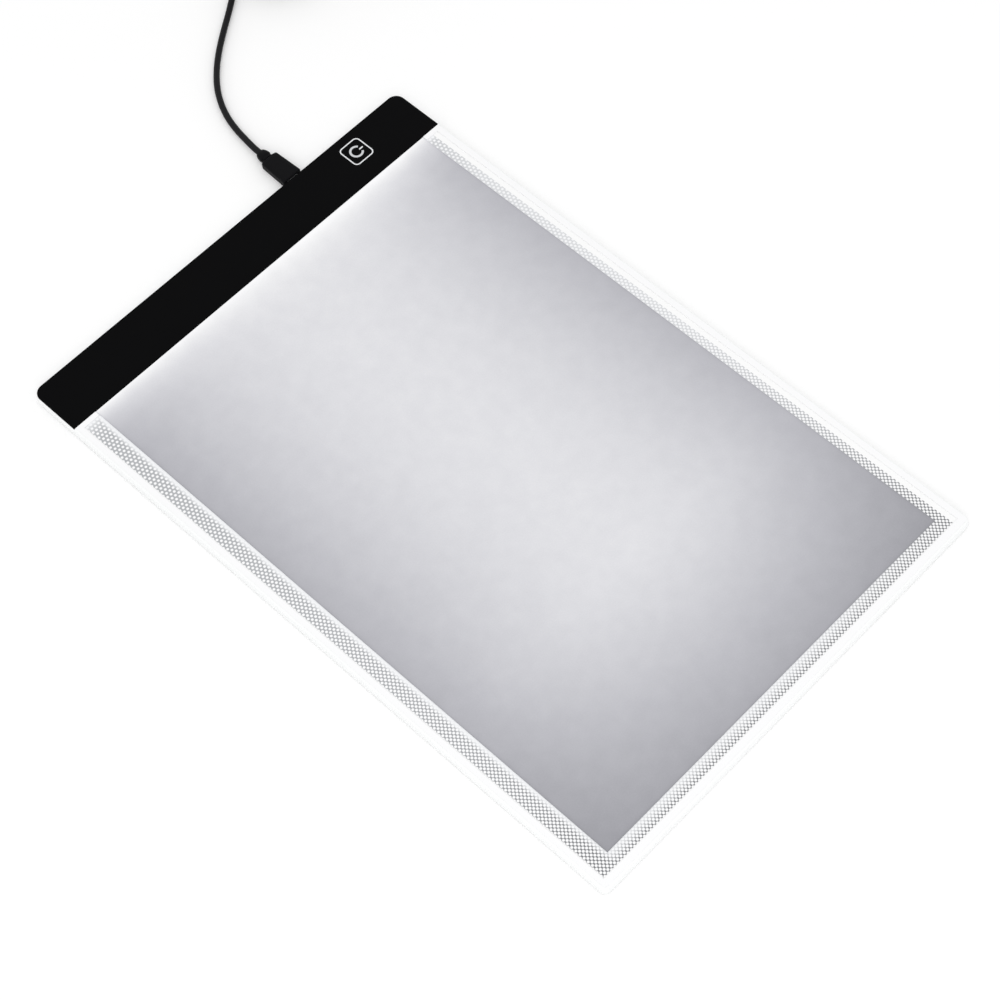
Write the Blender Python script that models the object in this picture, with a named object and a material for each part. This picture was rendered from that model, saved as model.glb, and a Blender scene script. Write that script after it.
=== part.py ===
"""A4 LED tracing pad with a black touch-control strip and a plug-in micro-USB lead.

Lengths are in metres. X runs across the pad, +Y towards the control strip and +Z up. The origin
is on the surface that the pad stands on, under the middle of the pad.
"""

import math

import bmesh
import bpy
import numpy as np
from mathutils import Matrix, Vector

# Gaps and cuts
seat_gap = 0.0003
layer_gap = 0.0001
overrun = 0.002

# Pad outline and tray
pad_width = 0.240
pad_length = 0.360
corner_radius = 0.0055
end_corner_radius = 0.003
corner_steps = 8
strip_depth = 0.0296
stand_height = 0.0005
tray_floor = 0.0008
tray_wall = 0.0012
tray_bottom_round = 0.0008
tray_top_round = 0.00035
round_steps = 3
smooth_angle = math.radians(40)

# Feet
foot_radius = 0.005
foot_recess = 0.0003
foot_inset = 0.015
foot_edge_round = 0.0002
disc_steps = 32

# Sheets of the light stack, in order from the tray floor
reflector_thickness = 0.0002
panel_thickness = 0.0007
film_thickness = 0.0002
edge_tape_thickness = 0.00015
guide_overlap = 0.003
side_rim = 0.0042
end_rim = 0.0049
strip_end_band = 0.003

# Working sheet, as its distances from the pad's outer edges and from the control strip
sheet_left_margin = 0.0139
sheet_right_margin = 0.01185
sheet_end_margin = 0.0117
sheet_strip_gap = 0.0005

# Micro-USB plug and socket
socket_from_side = 0.07115
plug_shell_width = 0.00685
plug_shell_height = 0.0018
plug_shell_wall = 0.0002
plug_shell_reach = 0.006
plug_shell_corner = 0.0005
plug_clearance = 0.00015
plug_stand_off = 0.0006
plug_core_gap = 0.0001
plug_core_back = 0.0015
plug_shell_anchor = 0.0015
socket_wall = 0.00025
socket_gap = 0.00015
socket_mouth_inset = 0.0003
socket_back = 0.0006
tongue_width = 0.0046
tongue_thickness = 0.0004
tongue_slot_gap = 0.00012

# Plug overmould of the micro end, along +Y from its front face
overmould_front_width = 0.0114
overmould_rear_width = 0.0100
overmould_height = 0.0052
overmould_length = 0.0175
overmould_corner = 0.0016
overmould_nose = 0.0006
overmould_tail = 0.0018
tail_draw_shares = ((0.67, 0.7, 0.25), (1.0, 2.0, 1.0))
neck_width = 0.0056
neck_length = 0.0010
neck_start_share = 0.25
neck_corner_share = 0.45
bulb_width = 0.0070
bulb_length = 0.0055
bulb_rear_width = 0.0048
bulb_start_share = 0.33
bulb_corner_share = 0.48
bulb_width_shares = (0.97, 0.995, 1.0, 0.985, 0.97)

# Control board, its posts and its components, whose shares are of the board's length
board_socket_inset = 0.01085
board_length = 0.0555
board_front_gap = 0.0022
board_rear_gap = 0.0012
board_thickness = 0.0008
board_drop = 0.00035
board_corner = 0.001
post_radius = 0.0017
pin_radius = 0.0006
pin_rise = 0.0005
post_inset = 0.0025
post_steps = 16
electrode_radius = 0.0045
electrode_share = 0.7604
electrode_from_rear = 0.0098
chip_size = (0.0049, 0.0039, 0.0010)
chip_share = 0.51
chip_from_rear = 0.0086
transistor_size = (0.0029, 0.0016, 0.0010)
transistor_share = 0.40
transistor_from_rear = 0.0121
resistor_size = (0.0016, 0.0008, 0.0005)
resistor_shares = (0.40, 0.51, 0.58)
resistors_from_rear = (0.0076, 0.0136, 0.0041)
capacitor_size = (0.0020, 0.0013, 0.0009)
capacitor_shares = (0.38, 0.47)
capacitors_from_rear = 0.0031

# LED strip along the end of the light guide
led_count = 24
led_size = (0.0030, 0.0009, 0.0016)
led_bar_thickness = 0.0003
led_bar_end_gap = 0.006
led_bar_inset = 0.0002
led_rib_thickness = 0.0008
flex_width = 0.006
flex_thickness = 0.00015
flex_reach = 0.0075
flex_from_board = 0.0150
flex_rise = 0.0002
flex_notch_gap = 0.0006

# Bosses of the tray and pins, skirt and ribs of the control cover
boss_radius = 0.0020
boss_bore_radius = 0.0010
boss_rear_inset = 0.0045
boss_front_inset = 0.0100
rear_boss_shares = (-0.93, -0.46, 0.0, 0.93)
front_boss_shares = (-0.70, -0.24, 0.20)
gusset_thickness = 0.0007
cover_pin_radius = 0.0007
cover_pin_length = 0.0020
skirt_depth = 0.0010
skirt_thickness = 0.0008
skirt_start = 0.0075
cover_rib_depth = 0.0008
cover_rib_thickness = 0.0006
cover_rib_inset = 0.0130
cover_rib_board_gap = 0.0140
cover_rib_margin = 0.008

# Lead: one cord from the micro plug, wound into a tied coil, to the USB-A plug
cord_diameter = 0.0032
cord_point_spacing = 0.0075
end_gap = 0.0003
exit_route = [
    (0.04885, 0.2049, 0.00275),
    (0.0493, 0.2100, 0.0026),
    (0.0502, 0.2160, 0.0022),
    (0.0514, 0.2230, 0.00185),
    (0.0536, 0.2315, 0.0017),
    (0.0574, 0.2405, 0.0017),
    (0.0630, 0.2495, 0.0017),
    (0.0705, 0.2580, 0.0017),
    (0.0795, 0.2660, 0.0017),
    (0.0895, 0.2735, 0.0017),
    (0.1000, 0.2808, 0.0017),
    (0.1100, 0.2882, 0.00175),
    (0.1192, 0.2956, 0.0021),
    (0.1268, 0.3024, 0.0024),
]
tail_route = [
    (0.1579, 0.3056, 0.0135),
    (0.1648, 0.3012, 0.0127),
    (0.1708, 0.2954, 0.0106),
    (0.1756, 0.2884, 0.0079),
    (0.1789, 0.2808, 0.0055),
    (0.1809, 0.2732, 0.0042),
    (0.1820, 0.2660, 0.0039),
]
coil_centre = (0.1440, 0.2885)
coil_middle_radius = 0.0180
coil_start_angle = math.radians(132)
coil_turns = 8.2
coil_layers = 4
coil_turn_gap = 0.0005
coil_lift = 0.0008
points_per_turn = 24

# Tie round the coil
tie_width = 0.0030
tie_thickness = 0.0005
tie_gap = 0.0003
tie_angle = math.radians(190)

# USB-A plug, along its own axis from the cord
usb_a_heading = math.radians(-81.3)
usb_a_height = 0.0039
usb_a_body_width = 0.0156
usb_a_body_height = 0.0074
usb_a_body_length = 0.0235
usb_a_rear_width = 0.0125
usb_a_corner = 0.0018
usb_a_shoulder_share = 0.45
usb_a_nose = 0.0008
usb_a_relief_length = 0.0080
usb_a_relief_width = 0.0066
usb_a_relief_end = 0.0050
usb_a_relief_groove = 0.0006
usb_a_relief_corner_share = 0.45
usb_a_relief_ribs = 3
usb_a_shell_width = 0.0120
usb_a_shell_height = 0.0045
usb_a_shell_wall = 0.0003
usb_a_shell_length = 0.0120
usb_a_shell_anchor = 0.0020
usb_a_shell_corner = 0.0005
usb_a_window = 0.0025
usb_a_window_pitch = 0.0050
usb_a_window_from_tip = 0.0042
usb_a_tongue_thickness = 0.0018
usb_a_core_gap = 0.00015
usb_a_core_back = 0.0030
usb_a_tongue_short = 0.0008

# Levels and places that follow from the sizes above
half_width = pad_width / 2
half_length = pad_length / 2
strip_front = half_length - strip_depth
inner_half_width = half_width - tray_wall
inner_half_length = half_length - tray_wall
inner_radius = corner_radius - tray_wall
inner_end_radius = end_corner_radius - tray_wall
floor_top = stand_height + tray_floor
socket_inner_width = plug_shell_width + 2 * plug_clearance
socket_inner_height = plug_shell_height + 2 * plug_clearance
socket_width = socket_inner_width + 2 * socket_wall
socket_height = socket_inner_height + 2 * socket_wall
bay_height = socket_height + 2 * socket_gap
reflector_bottom = floor_top + layer_gap
guide_bottom = reflector_bottom + reflector_thickness + layer_gap
cover_bottom = floor_top + bay_height
guide_top = cover_bottom - seat_gap
panel_bottom = guide_top + layer_gap
film_bottom = panel_bottom + panel_thickness + layer_gap
pad_height = film_bottom + film_thickness
bay_wall_top = cover_bottom - layer_gap
plug_z = floor_top + bay_height / 2
socket_x = half_width - socket_from_side
guide_end = strip_front + guide_overlap
led_front = guide_end + seat_gap
led_bar_front = led_front + led_size[1]
rib_front = led_bar_front + led_bar_thickness + seat_gap
rib_rear = rib_front + led_rib_thickness
socket_mouth = half_length - socket_mouth_inset
overmould_front = half_length + plug_stand_off
plug_tip = overmould_front - plug_shell_reach
socket_rear = plug_tip - seat_gap - socket_back
board_bottom = plug_z - board_drop - board_thickness / 2
board_top = board_bottom + board_thickness
board_front = rib_rear + board_front_gap
board_rear = inner_half_length - board_rear_gap
board_left = socket_x - board_socket_inset
board_right = board_left + board_length
flex_x = board_left + flex_from_board
cord_radius = cord_diameter / 2


def material(name, colour, roughness, metallic=0.0):
    made = bpy.data.materials.new(name)
    made.use_nodes = True
    surface = made.node_tree.nodes["Principled BSDF"]
    surface.inputs["Base Color"].default_value = (*colour, 1.0)
    surface.inputs["Roughness"].default_value = roughness
    surface.inputs["Metallic"].default_value = metallic
    made.diffuse_color = (*colour, 1.0)
    return made


def rounded_outline(x0, x1, y0, y1, near_radius=0.0, far_radius=0.0, steps=corner_steps):
    """A rectangle, anticlockwise, with its two corners at y0 and its two at y1 rounded."""
    corners = (
        (x0, y0, near_radius, math.pi),
        (x1, y0, near_radius, 1.5 * math.pi),
        (x1, y1, far_radius, 0.0),
        (x0, y1, far_radius, 0.5 * math.pi),
    )
    outline = []
    for x, y, radius, start in corners:
        centre_x = x + radius if x == x0 else x - radius
        centre_y = y + radius if y == y0 else y - radius
        angles = [start + 0.5 * math.pi * k / steps for k in range(steps + 1)]
        if radius <= 0:
            angles = [start]
        outline += [(centre_x + radius * math.cos(a), centre_y + radius * math.sin(a)) for a in angles]
    return outline


def circle(x, y, radius, steps=disc_steps):
    turns = [math.tau * k / steps for k in range(steps)]
    return [(x + radius * math.cos(a), y + radius * math.sin(a)) for a in turns]


def new_object(name, form, surface, smooth=False):
    mesh = bpy.data.meshes.new(name)
    bmesh.ops.recalc_face_normals(form, faces=form.faces)
    form.to_mesh(mesh)
    form.free()
    if smooth:
        mesh.shade_smooth()
        mesh.set_sharp_from_angle(angle=smooth_angle)
    made = bpy.data.objects.new(name, mesh)
    bpy.context.scene.collection.objects.link(made)
    if surface:
        mesh.materials.append(surface)
    return made


def add_levels(form, levels):
    """A closed body through outlines of equal length, each a list of three-dimensional points."""
    rings = [[form.verts.new(point) for point in outline] for outline in levels]
    form.faces.new(rings[0])
    form.faces.new(rings[-1])
    for low, high in zip(rings, rings[1:]):
        for k in range(len(low)):
            following = (k + 1) % len(low)
            form.faces.new((low[k], low[following], high[following], high[k]))


def prisms(name, pieces, surface=None):
    """One mesh of upright prisms, given as (outline, bottom, top), that don't touch one another."""
    form = bmesh.new()
    for outline, bottom, top in pieces:
        add_levels(form, [[(x, y, z) for x, y in outline] for z in (bottom, top)])
    return new_object(name, form, surface)


def block(x0, x1, y0, y1, bottom, top):
    return rounded_outline(x0, x1, y0, y1), bottom, top


def combine(body, tool, operation):
    tool.hide_render = True
    tool.display_type = "WIRE"
    change = body.modifiers.new(tool.name, "BOOLEAN")
    change.operation = operation
    change.solver = "EXACT"
    change.object = tool


def arc_levels(radius, steps=round_steps):
    """Pairs of inset and height that round an edge, from its full inset to none."""
    quarter = [0.5 * math.pi * k / steps for k in range(steps + 1)]
    return [(radius * (1 - math.sin(a)), radius * (1 - math.cos(a))) for a in quarter]


def along_y(sections):
    """Levels along Y from sections (y, width, height, corner, centre x, centre z)."""
    levels = []
    for y, width, height, corner, x, z in sections:
        ring = rounded_outline(-width / 2, width / 2, -height / 2, height / 2, corner, corner, steps=4)
        levels.append([(x + across, y, z + up) for across, up in ring])
    return levels


def u_outline(half, start, end, radius, thickness):
    """A U-shaped strip that opens towards start, rounded at its two corners."""
    outer = rounded_outline(-half, half, start, end, 0.0, radius)
    inner_half = half - thickness
    inner = rounded_outline(-inner_half, inner_half, start, end - thickness, 0.0, radius - thickness)
    return outer[1:] + outer[:1] + inner[:1] + inner[:0:-1]


def hermite(points, count):
    """Points read at equal steps of length from a smooth curve through the given ones."""
    points = np.array(points)
    tangents = np.gradient(points, axis=0)
    fine = []
    for k in range(len(points) - 1):
        t = np.linspace(0, 1, 40, endpoint=False)[:, None]
        fine.append(
            (2 * t**3 - 3 * t**2 + 1) * points[k]
            + (t**3 - 2 * t**2 + t) * tangents[k]
            + (3 * t**2 - 2 * t**3) * points[k + 1]
            + (t**3 - t**2) * tangents[k + 1]
        )
    fine = np.vstack([*fine, points[-1:]])
    travelled = np.concatenate([[0], np.cumsum(np.linalg.norm(np.diff(fine, axis=0), axis=1))])
    wanted = np.linspace(0, travelled[-1], count)
    return np.column_stack([np.interp(wanted, travelled, fine[:, axis]) for axis in range(3)])


def tube(name, points, radius, resolution, surface):
    curve = bpy.data.curves.new(name, "CURVE")
    curve.dimensions = "3D"
    curve.bevel_depth = radius
    curve.bevel_resolution = resolution
    curve.use_fill_caps = True
    curve.render_resolution_u = 0
    spline = curve.splines.new("POLY")
    spline.points.add(len(points) - 1)
    for place, point in zip(spline.points, points):
        place.co = (*point, 1.0)
    curve.materials.append(surface)
    made = bpy.data.objects.new(name, curve)
    bpy.context.scene.collection.objects.link(made)
    return made


for old in list(bpy.data.objects):
    bpy.data.objects.remove(old, do_unlink=True)

white_shell = material("white_shell", (0.86, 0.86, 0.88), 0.45)
black_gloss = material("black_gloss", (0.006, 0.006, 0.006), 0.22)
foot_rubber = material("foot_rubber", (0.30, 0.30, 0.31), 0.85)
mirror_white = material("mirror_white", (0.90, 0.90, 0.90), 0.30)
clear_acrylic = material("clear_acrylic", (0.78, 0.80, 0.82), 0.12)
opal_acrylic = material("opal_acrylic", (0.70, 0.70, 0.72), 0.35)
white_film = material("white_film", (0.90, 0.90, 0.92), 0.40)
matte_sheet = material("matte_sheet", (0.55, 0.55, 0.58), 0.70)
led_white = material("led_white", (0.88, 0.86, 0.70), 0.40)
board_green = material("board_green", (0.02, 0.16, 0.06), 0.45)
flex_amber = material("flex_amber", (0.45, 0.20, 0.04), 0.40)
copper_pad = material("copper_pad", (0.70, 0.38, 0.22), 0.35, 1.0)
chip_black = material("chip_black", (0.02, 0.02, 0.02), 0.50)
resistor_black = material("resistor_black", (0.03, 0.03, 0.03), 0.45)
capacitor_tan = material("capacitor_tan", (0.42, 0.30, 0.18), 0.50)
bright_steel = material("bright_steel", (0.62, 0.62, 0.63), 0.25, 1.0)
contact_black = material("contact_black", (0.02, 0.02, 0.02), 0.50)
plug_black = material("plug_black", (0.012, 0.012, 0.013), 0.48)
cord_black = material("cord_black", (0.015, 0.015, 0.016), 0.55)
tie_black = material("tie_black", (0.02, 0.02, 0.02), 0.60)


def make_back_cover():
    """The white tray: rounded shell, lower wall and bosses in the control bay, posts and rib."""
    levels = []
    profile = [(inset, stand_height + rise) for inset, rise in arc_levels(tray_bottom_round)]
    profile += [(inset, pad_height - rise) for inset, rise in reversed(arc_levels(tray_top_round))]
    for inset, z in profile:
        ring = rounded_outline(
            inset - half_width,
            half_width - inset,
            inset - half_length,
            half_length - inset,
            end_corner_radius - inset,
            corner_radius - inset,
        )
        levels.append([(x, y, z) for x, y in ring])
    form = bmesh.new()
    add_levels(form, levels)
    tray = new_object("back_cover", form, white_shell)

    pocket = rounded_outline(
        -inner_half_width,
        inner_half_width,
        -inner_half_length,
        inner_half_length,
        inner_end_radius,
        inner_radius,
    )
    combine(tray, prisms("tray_pocket", [(pocket, floor_top, pad_height + overrun)]), "DIFFERENCE")
    wide = half_width + overrun
    bay_cut = block(
        -wide, wide, strip_front - seat_gap, half_length + overrun, bay_wall_top, pad_height + overrun
    )
    combine(tray, prisms("bay_cut", [bay_cut]), "DIFFERENCE")

    root = floor_top - tray_floor / 2
    bosses = []
    bores = []
    for x, y in rear_boss_places() + front_boss_places():
        bosses.append((circle(x, y, boss_radius), root, bay_wall_top - seat_gap))
        bores.append((circle(x, y, boss_bore_radius, post_steps), floor_top, bay_wall_top + overrun))
    gussets = [
        block(
            x - gusset_thickness / 2,
            x + gusset_thickness / 2,
            y + boss_bore_radius + gusset_thickness / 2,
            half_length - tray_wall / 2,
            root,
            bay_wall_top - skirt_depth - seat_gap,
        )
        for x, y in rear_boss_places()
    ]
    combine(tray, prisms("bosses", bosses), "UNION")
    combine(tray, prisms("gussets", gussets), "UNION")
    combine(tray, prisms("boss_bores", bores), "DIFFERENCE")

    rib_half = inner_half_width - led_bar_end_gap + led_rib_thickness
    notch_half = flex_width / 2 + flex_notch_gap
    left_rib = block(-rib_half, flex_x - notch_half, rib_front, rib_rear, root, guide_top)
    right_rib = block(flex_x + notch_half, rib_half, rib_front, rib_rear, root, guide_top)
    combine(tray, prisms("led_ribs", [left_rib, right_rib]), "UNION")

    posts = []
    pins = []
    for x, y in post_places():
        posts.append((circle(x, y, post_radius, post_steps), root, board_bottom - layer_gap))
        pins.append((circle(x, y, pin_radius, post_steps), floor_top, board_top + pin_rise))
    combine(tray, prisms("board_posts", posts), "UNION")
    combine(tray, prisms("board_pins", pins), "UNION")

    side = socket_width / 2 + socket_gap
    notch = block(
        socket_x - side,
        socket_x + side,
        inner_half_length - tray_wall,
        half_length + overrun,
        floor_top,
        pad_height + overrun,
    )
    combine(tray, prisms("socket_notch", [notch]), "DIFFERENCE")
    recesses = [
        (circle(x, y, foot_radius + seat_gap), stand_height - overrun, stand_height + foot_recess)
        for x, y in foot_places()
    ]
    combine(tray, prisms("foot_recesses", recesses), "DIFFERENCE")
    return tray


def rear_boss_places():
    return [(share * inner_half_width, inner_half_length - boss_rear_inset) for share in rear_boss_shares]


def front_boss_places():
    return [(share * inner_half_width, strip_front + boss_front_inset) for share in front_boss_shares]


def foot_places():
    x = half_width - foot_inset
    y = half_length - foot_inset
    return [(-x, -y), (x, -y), (x, y), (-x, y)]


def post_places():
    return [
        (x, y)
        for x in (board_left + post_inset, board_right - post_inset)
        for y in (board_front + post_inset, board_rear - post_inset)
    ]


def make_feet():
    top = stand_height + foot_recess - layer_gap
    feet = []
    for number, (x, y) in enumerate(foot_places(), 1):
        form = bmesh.new()
        levels = [
            [(px, py, rise) for px, py in circle(0.0, 0.0, foot_radius - inset)]
            for inset, rise in arc_levels(foot_edge_round)
        ]
        levels.append([(px, py, top) for px, py in circle(0.0, 0.0, foot_radius)])
        add_levels(form, levels)
        foot = new_object(f"foot_{number}", form, foot_rubber, smooth=True)
        foot.location = (x, y, 0.0)
        feet.append(foot)
    return feet


def stack_outline(inset, end):
    """The tray's inner outline, drawn in by an inset, and cut off square at its control end."""
    half = inner_half_width - inset
    return rounded_outline(-half, half, inset - inner_half_length, end, inner_end_radius - inset)


def make_light_stack():
    tape_room = 2 * layer_gap + edge_tape_thickness
    panel_end = strip_front - seat_gap
    reflector = prisms(
        "reflector_sheet",
        [(stack_outline(seat_gap, guide_end), reflector_bottom, reflector_bottom + reflector_thickness)],
        mirror_white,
    )
    guide = prisms(
        "light_guide_plate",
        [(stack_outline(seat_gap + tape_room, guide_end), guide_bottom, guide_top)],
        clear_acrylic,
    )
    tape = u_outline(
        inner_half_width - seat_gap,
        -guide_end,
        inner_half_length - seat_gap,
        inner_end_radius - seat_gap,
        edge_tape_thickness,
    )
    edge_tape = prisms(
        "edge_reflector", [([(x, -y) for x, y in reversed(tape)], guide_bottom, guide_top)], white_film
    )
    panel = prisms(
        "top_panel",
        [(stack_outline(seat_gap, panel_end), panel_bottom, panel_bottom + panel_thickness)],
        opal_acrylic,
    )

    border = prisms(
        "border_film", [(stack_outline(seat_gap, panel_end), film_bottom, pad_height)], white_film
    )
    window_half = half_width - side_rim
    window = block(
        -window_half,
        window_half,
        end_rim - half_length,
        strip_front - strip_end_band,
        film_bottom - overrun,
        pad_height + overrun,
    )
    combine(border, prisms("border_window", [window]), "DIFFERENCE")
    left = sheet_left_margin - half_width
    right = half_width - sheet_right_margin
    sheet_way = block(
        left - seat_gap,
        right + seat_gap,
        0.0,
        strip_front + overrun,
        film_bottom - overrun,
        pad_height + overrun,
    )
    combine(border, prisms("sheet_way", [sheet_way]), "DIFFERENCE")

    end = sheet_end_margin - half_length
    cut = block(left, right, end, strip_front - sheet_strip_gap, film_bottom, pad_height)
    sheet = prisms("working_sheet", [cut], matte_sheet)
    return [reflector, guide, edge_tape, panel, border, sheet]


def make_led_strip():
    half = inner_half_width - led_bar_end_gap
    bar = prisms(
        "led_strip",
        [
            block(
                -half,
                half,
                led_bar_front,
                led_bar_front + led_bar_thickness,
                guide_bottom,
                guide_top - led_bar_inset,
            )
        ],
        led_white,
    )
    pitch = 2 * half / led_count
    middle = (guide_bottom + guide_top) / 2
    packages = []
    for k in range(led_count):
        x = -half + pitch * (k + 0.5)
        packages.append(
            block(
                x - led_size[0] / 2,
                x + led_size[0] / 2,
                led_front,
                led_bar_front + led_bar_thickness / 2,
                middle - led_size[2] / 2,
                middle + led_size[2] / 2,
            )
        )
    combine(bar, prisms("led_packages", packages), "UNION")
    flex_bottom = board_top + flex_rise
    flex = prisms(
        "flex_tail",
        [
            block(
                flex_x - flex_width / 2,
                flex_x + flex_width / 2,
                led_bar_front + led_bar_thickness + layer_gap,
                led_bar_front + led_bar_thickness + flex_reach,
                flex_bottom,
                flex_bottom + flex_thickness,
            )
        ],
        flex_amber,
    )
    return [bar, flex]


def make_control_cover():
    """The black cover: a plate with rounded edges, and its skirt, pins and ribs underneath."""
    levels = []
    profile = [(0.0, cover_bottom)]
    profile += [(inset, pad_height - rise) for inset, rise in reversed(arc_levels(tray_top_round))]
    for inset, z in profile:
        ring = rounded_outline(
            inset - half_width,
            half_width - inset,
            strip_front + inset,
            half_length - inset,
            0.0,
            corner_radius - inset,
        )
        levels.append([(x, y, z) for x, y in ring])
    form = bmesh.new()
    add_levels(form, levels)
    cover = new_object("control_cover", form, black_gloss)

    plate_middle = (cover_bottom + pad_height) / 2
    skirt = u_outline(
        inner_half_width - seat_gap,
        strip_front + skirt_start,
        inner_half_length - seat_gap,
        inner_radius - seat_gap,
        skirt_thickness,
    )
    combine(cover, prisms("cover_skirt", [(skirt, cover_bottom - skirt_depth, plate_middle)]), "UNION")
    side = socket_width / 2 + seat_gap
    skirt_gap = block(
        socket_x - side,
        socket_x + side,
        inner_half_length - seat_gap - skirt_thickness - overrun,
        half_length,
        cover_bottom - skirt_depth - overrun,
        cover_bottom,
    )
    combine(cover, prisms("skirt_gap", [skirt_gap]), "DIFFERENCE")

    pin_bottom = cover_bottom - cover_pin_length
    pins = [
        (circle(x, y, cover_pin_radius, post_steps), pin_bottom, plate_middle)
        for x, y in rear_boss_places() + front_boss_places()
    ]
    combine(cover, prisms("cover_pins", pins), "UNION")
    rib_y = half_length - cover_rib_inset
    rib = block(
        cover_rib_margin - half_width,
        board_left - cover_rib_board_gap,
        rib_y,
        rib_y + cover_rib_thickness,
        cover_bottom - cover_rib_depth,
        plate_middle,
    )
    combine(cover, prisms("cover_rib", [rib]), "UNION")
    return cover


def make_control_board():
    outline = rounded_outline(board_left, board_right, board_front, board_rear, board_corner, board_corner)
    board = prisms("control_board", [(outline, board_bottom, board_top)], board_green)
    side = socket_width / 2 + socket_gap
    way = block(
        socket_x - side,
        socket_x + side,
        socket_rear - socket_gap,
        board_rear + overrun,
        board_bottom - overrun,
        board_top + overrun,
    )
    combine(board, prisms("socket_way", [way]), "DIFFERENCE")
    holes = [
        (circle(x, y, pin_radius + seat_gap, post_steps), board_bottom - overrun, board_top + overrun)
        for x, y in post_places()
    ]
    combine(board, prisms("board_holes", holes), "DIFFERENCE")

    seat = board_top + layer_gap
    made = [board]
    electrode = prisms(
        "touch_electrode",
        [(circle(0.0, 0.0, electrode_radius), seat, cover_bottom - layer_gap)],
        copper_pad,
    )
    electrode.location = (
        board_left + electrode_share * board_length,
        board_rear - electrode_from_rear,
        0.0,
    )
    made.append(electrode)

    def component(name, size, share, from_rear, surface):
        width, depth, height = size
        body = prisms(name, [block(-width / 2, width / 2, -depth / 2, depth / 2, 0.0, height)], surface)
        body.location = (board_left + share * board_length, board_rear - from_rear, seat)
        made.append(body)

    component("touch_chip", chip_size, chip_share, chip_from_rear, chip_black)
    component("dimmer_transistor", transistor_size, transistor_share, transistor_from_rear, chip_black)
    for number, (share, from_rear) in enumerate(zip(resistor_shares, resistors_from_rear), 1):
        component(f"resistor_{number}", resistor_size, share, from_rear, resistor_black)
    for number, share in enumerate(capacitor_shares, 1):
        component(f"capacitor_{number}", capacitor_size, share, capacitors_from_rear, capacitor_tan)
    return made


def shell_levels(width, height, corner, start, end, x, z):
    return along_y([(start, width, height, corner, x, z), (end, width, height, corner, x, z)])


def make_shell(name, width, height, corner, wall, start, end, surface, x=0.0, z=0.0):
    """A thin metal sleeve along Y, open at both ends."""
    form = bmesh.new()
    add_levels(form, shell_levels(width, height, corner, start, end, x, z))
    shell = new_object(name, form, surface)
    form = bmesh.new()
    inside = (width - 2 * wall, height - 2 * wall, corner - wall)
    add_levels(form, shell_levels(*inside, start - overrun, end + overrun, x, z))
    combine(shell, new_object(f"{name}_bore", form, None), "DIFFERENCE")
    return shell


def make_socket():
    shell = make_shell(
        "usb_socket_shell",
        socket_width,
        socket_height,
        plug_shell_corner + plug_clearance,
        socket_wall,
        socket_rear,
        socket_mouth,
        bright_steel,
        socket_x,
        plug_z,
    )
    back_half = socket_inner_width / 2 - layer_gap - plug_clearance
    back_rise = socket_inner_height / 2 - layer_gap - plug_clearance
    tongue = prisms(
        "usb_socket_tongue",
        [
            block(
                socket_x - back_half,
                socket_x + back_half,
                socket_rear,
                socket_rear + socket_back,
                plug_z - back_rise,
                plug_z + back_rise,
            )
        ],
        contact_black,
    )
    blade = block(
        socket_x - tongue_width / 2,
        socket_x + tongue_width / 2,
        socket_rear + socket_back / 2,
        overmould_front - plug_core_back - seat_gap - plug_stand_off,
        plug_z - tongue_thickness / 2,
        plug_z + tongue_thickness / 2,
    )
    combine(tongue, prisms("tongue_blade", [blade]), "UNION")
    return [shell, tongue]


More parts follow.
